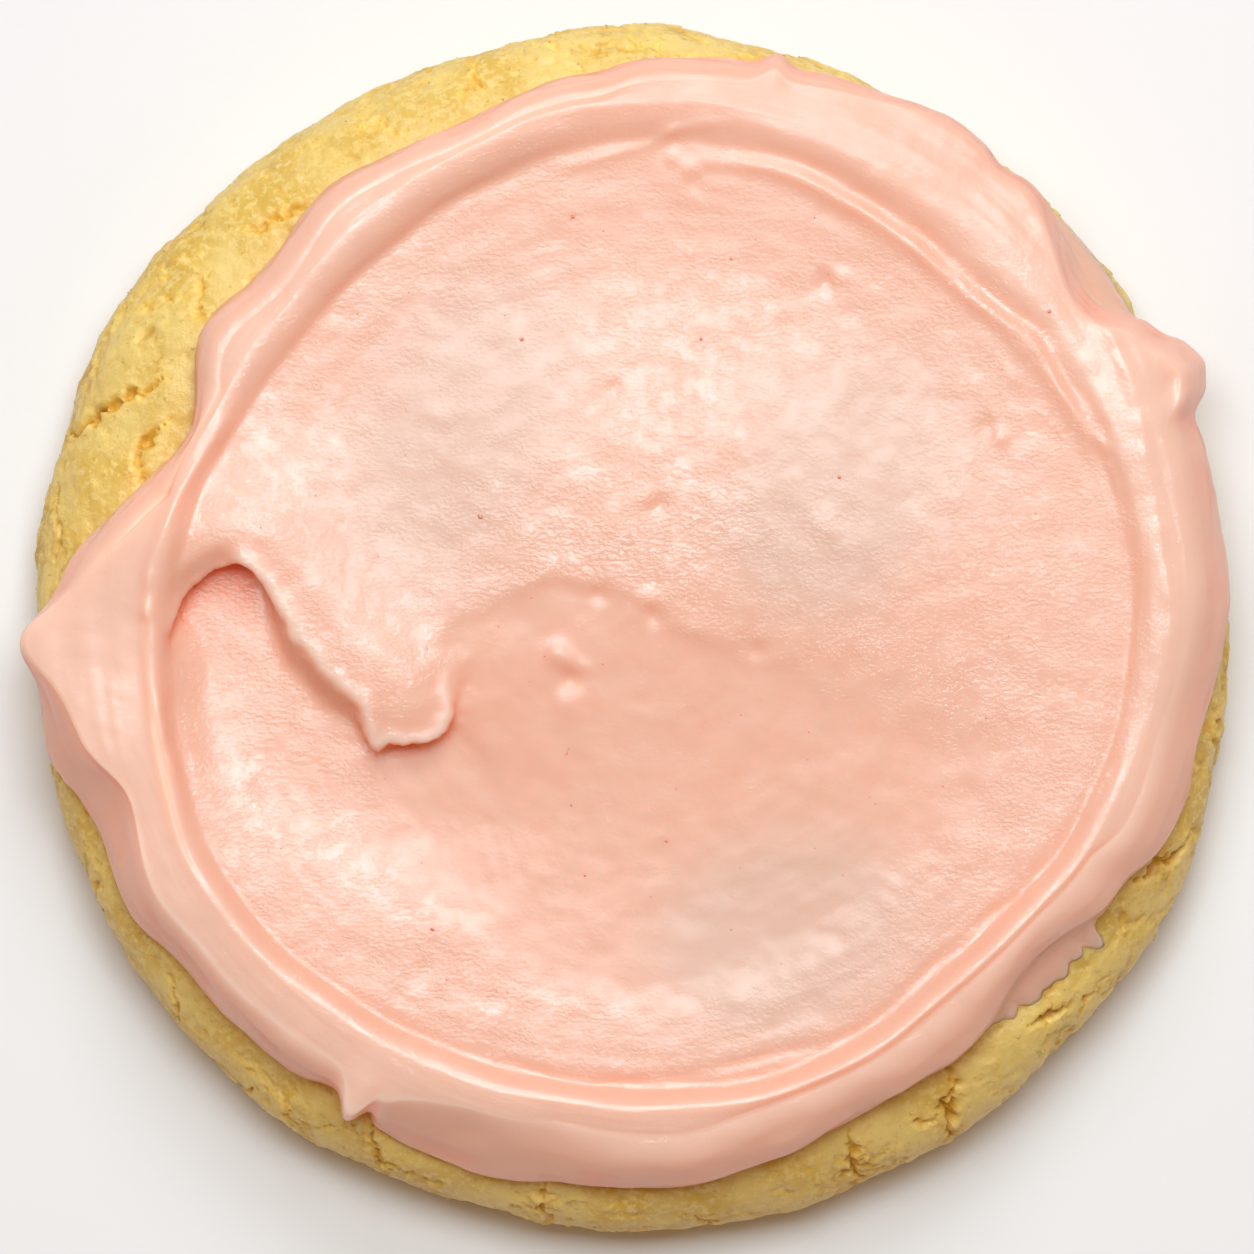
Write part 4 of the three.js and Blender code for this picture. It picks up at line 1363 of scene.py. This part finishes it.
skin_tree = BVHTree.FromPolygons(
    [v.co for v in frosting.data.vertices], [tuple(p.vertices) for p in frosting.data.polygons]
)
grain_tree, grain_named = crumb_tree(speck_material())
turn_draws = chance.random(faint_specks) * TURN
reach_draws = np.sqrt(chance.random(faint_specks)) * 42
faint_spots = np.stack([np.cos(turn_draws), np.sin(turn_draws)], axis=1) * reach_draws[:, None]
speck_rows = [((x, y), (radius, radius * 1.2), 0.4 * radius) for x, y, radius in dye_specks]
speck_rows += [(spot, faint_size, 0.02) for spot in faint_spots]
speck_parts = []
for spot, sizes, sunk in speck_rows:
    settings = [
        (grain_named["Smallest"].identifier, sizes[0] * MM),
        (grain_named["Largest"].identifier, sizes[1] * MM),
    ]
    speck_parts.append(scattered("speck", on_frosting([spot], sunk), grain_tree, settings))
with bpy.context.temp_override(
    active_object=speck_parts[0],
    selected_objects=speck_parts,
    selected_editable_objects=speck_parts,
):
    bpy.ops.object.join()
specks = speck_parts[0]
specks.name = "dye_specks"
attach(specks, "root")


# ------------------------------------------------------------------ floor, lights and camera
# A plain white table, two broad soft lights above it and beyond the cookie's far side, and a long lens
# straight above.

photo_pixels = 1254
photo_scale = 0.09  # mm of the cookie for each pixel of the photo
photo_middle = (630, 628)  # the pixel over the biscuit's middle
lens = 350.0
sensor = 36.0

floor_mesh = bpy.data.meshes.new("table_top")
half = 3.0
corners = [(-half, -half, 0), (half, -half, 0), (half, half, 0), (-half, half, 0)]
floor_mesh.from_pydata(corners, [], [(0, 1, 2, 3)])
floor = bpy.data.objects.new("table_top", floor_mesh)
bpy.context.scene.collection.objects.link(floor)
floor.location.z = -0.2 * MM
material, nodes, links, shader = new_material("white_table")
shader.inputs["Base Color"].default_value = (0.86, 0.86, 0.86, 1)
shader.inputs["Roughness"].default_value = 0.9
shader.inputs["Specular IOR Level"].default_value = 0.1
floor_mesh.materials.append(material)

frame_width = photo_pixels * photo_scale * MM
camera_data = bpy.data.cameras.new("overhead")
camera_data.lens = lens
camera_data.sensor_width = sensor
focus_height = 0.014
camera_distance = frame_width * lens / sensor
camera = bpy.data.objects.new("overhead", camera_data)
bpy.context.scene.collection.objects.link(camera)
offset_x = (photo_pixels / 2 - photo_middle[0]) * photo_scale * MM
offset_y = (photo_middle[1] - photo_pixels / 2) * photo_scale * MM
camera.location = (offset_x, offset_y, focus_height + camera_distance)
camera_data.clip_start = 0.01
camera_data.clip_end = 20
bpy.context.scene.camera = camera


def soft_light(name, place, aim, size, power, colour):
    data = bpy.data.lights.new(name, "AREA")
    data.shape = "RECTANGLE"
    data.size, data.size_y = size
    data.energy = power
    data.color = colour
    light = bpy.data.objects.new(name, data)
    bpy.context.scene.collection.objects.link(light)
    light.location = place
    light.rotation_mode = "QUATERNION"
    light.rotation_quaternion = (Vector(aim) - Vector(place)).to_track_quat("-Z", "Y")


cool = (0.91, 1.0, 1.06)
soft_light("window", (0.05, 0.72, 0.78), (0, 0, 0.01), (0.50, 0.34), 3.9, cool)
soft_light("overhead", (0.0, 0.28, 1.0), (0, 0, 0.01), (0.70, 0.40), 7.4, cool)

world = bpy.data.worlds.new("studio_air")
world.use_nodes = True
world.node_tree.nodes["Background"].inputs["Color"].default_value = (1, 0.64, 0.40, 1)
world.node_tree.nodes["Background"].inputs["Strength"].default_value = 0.27
bpy.context.scene.world = world
bpy.context.scene.view_settings.view_transform = "Standard"
bpy.context.scene.view_settings.look = "None"
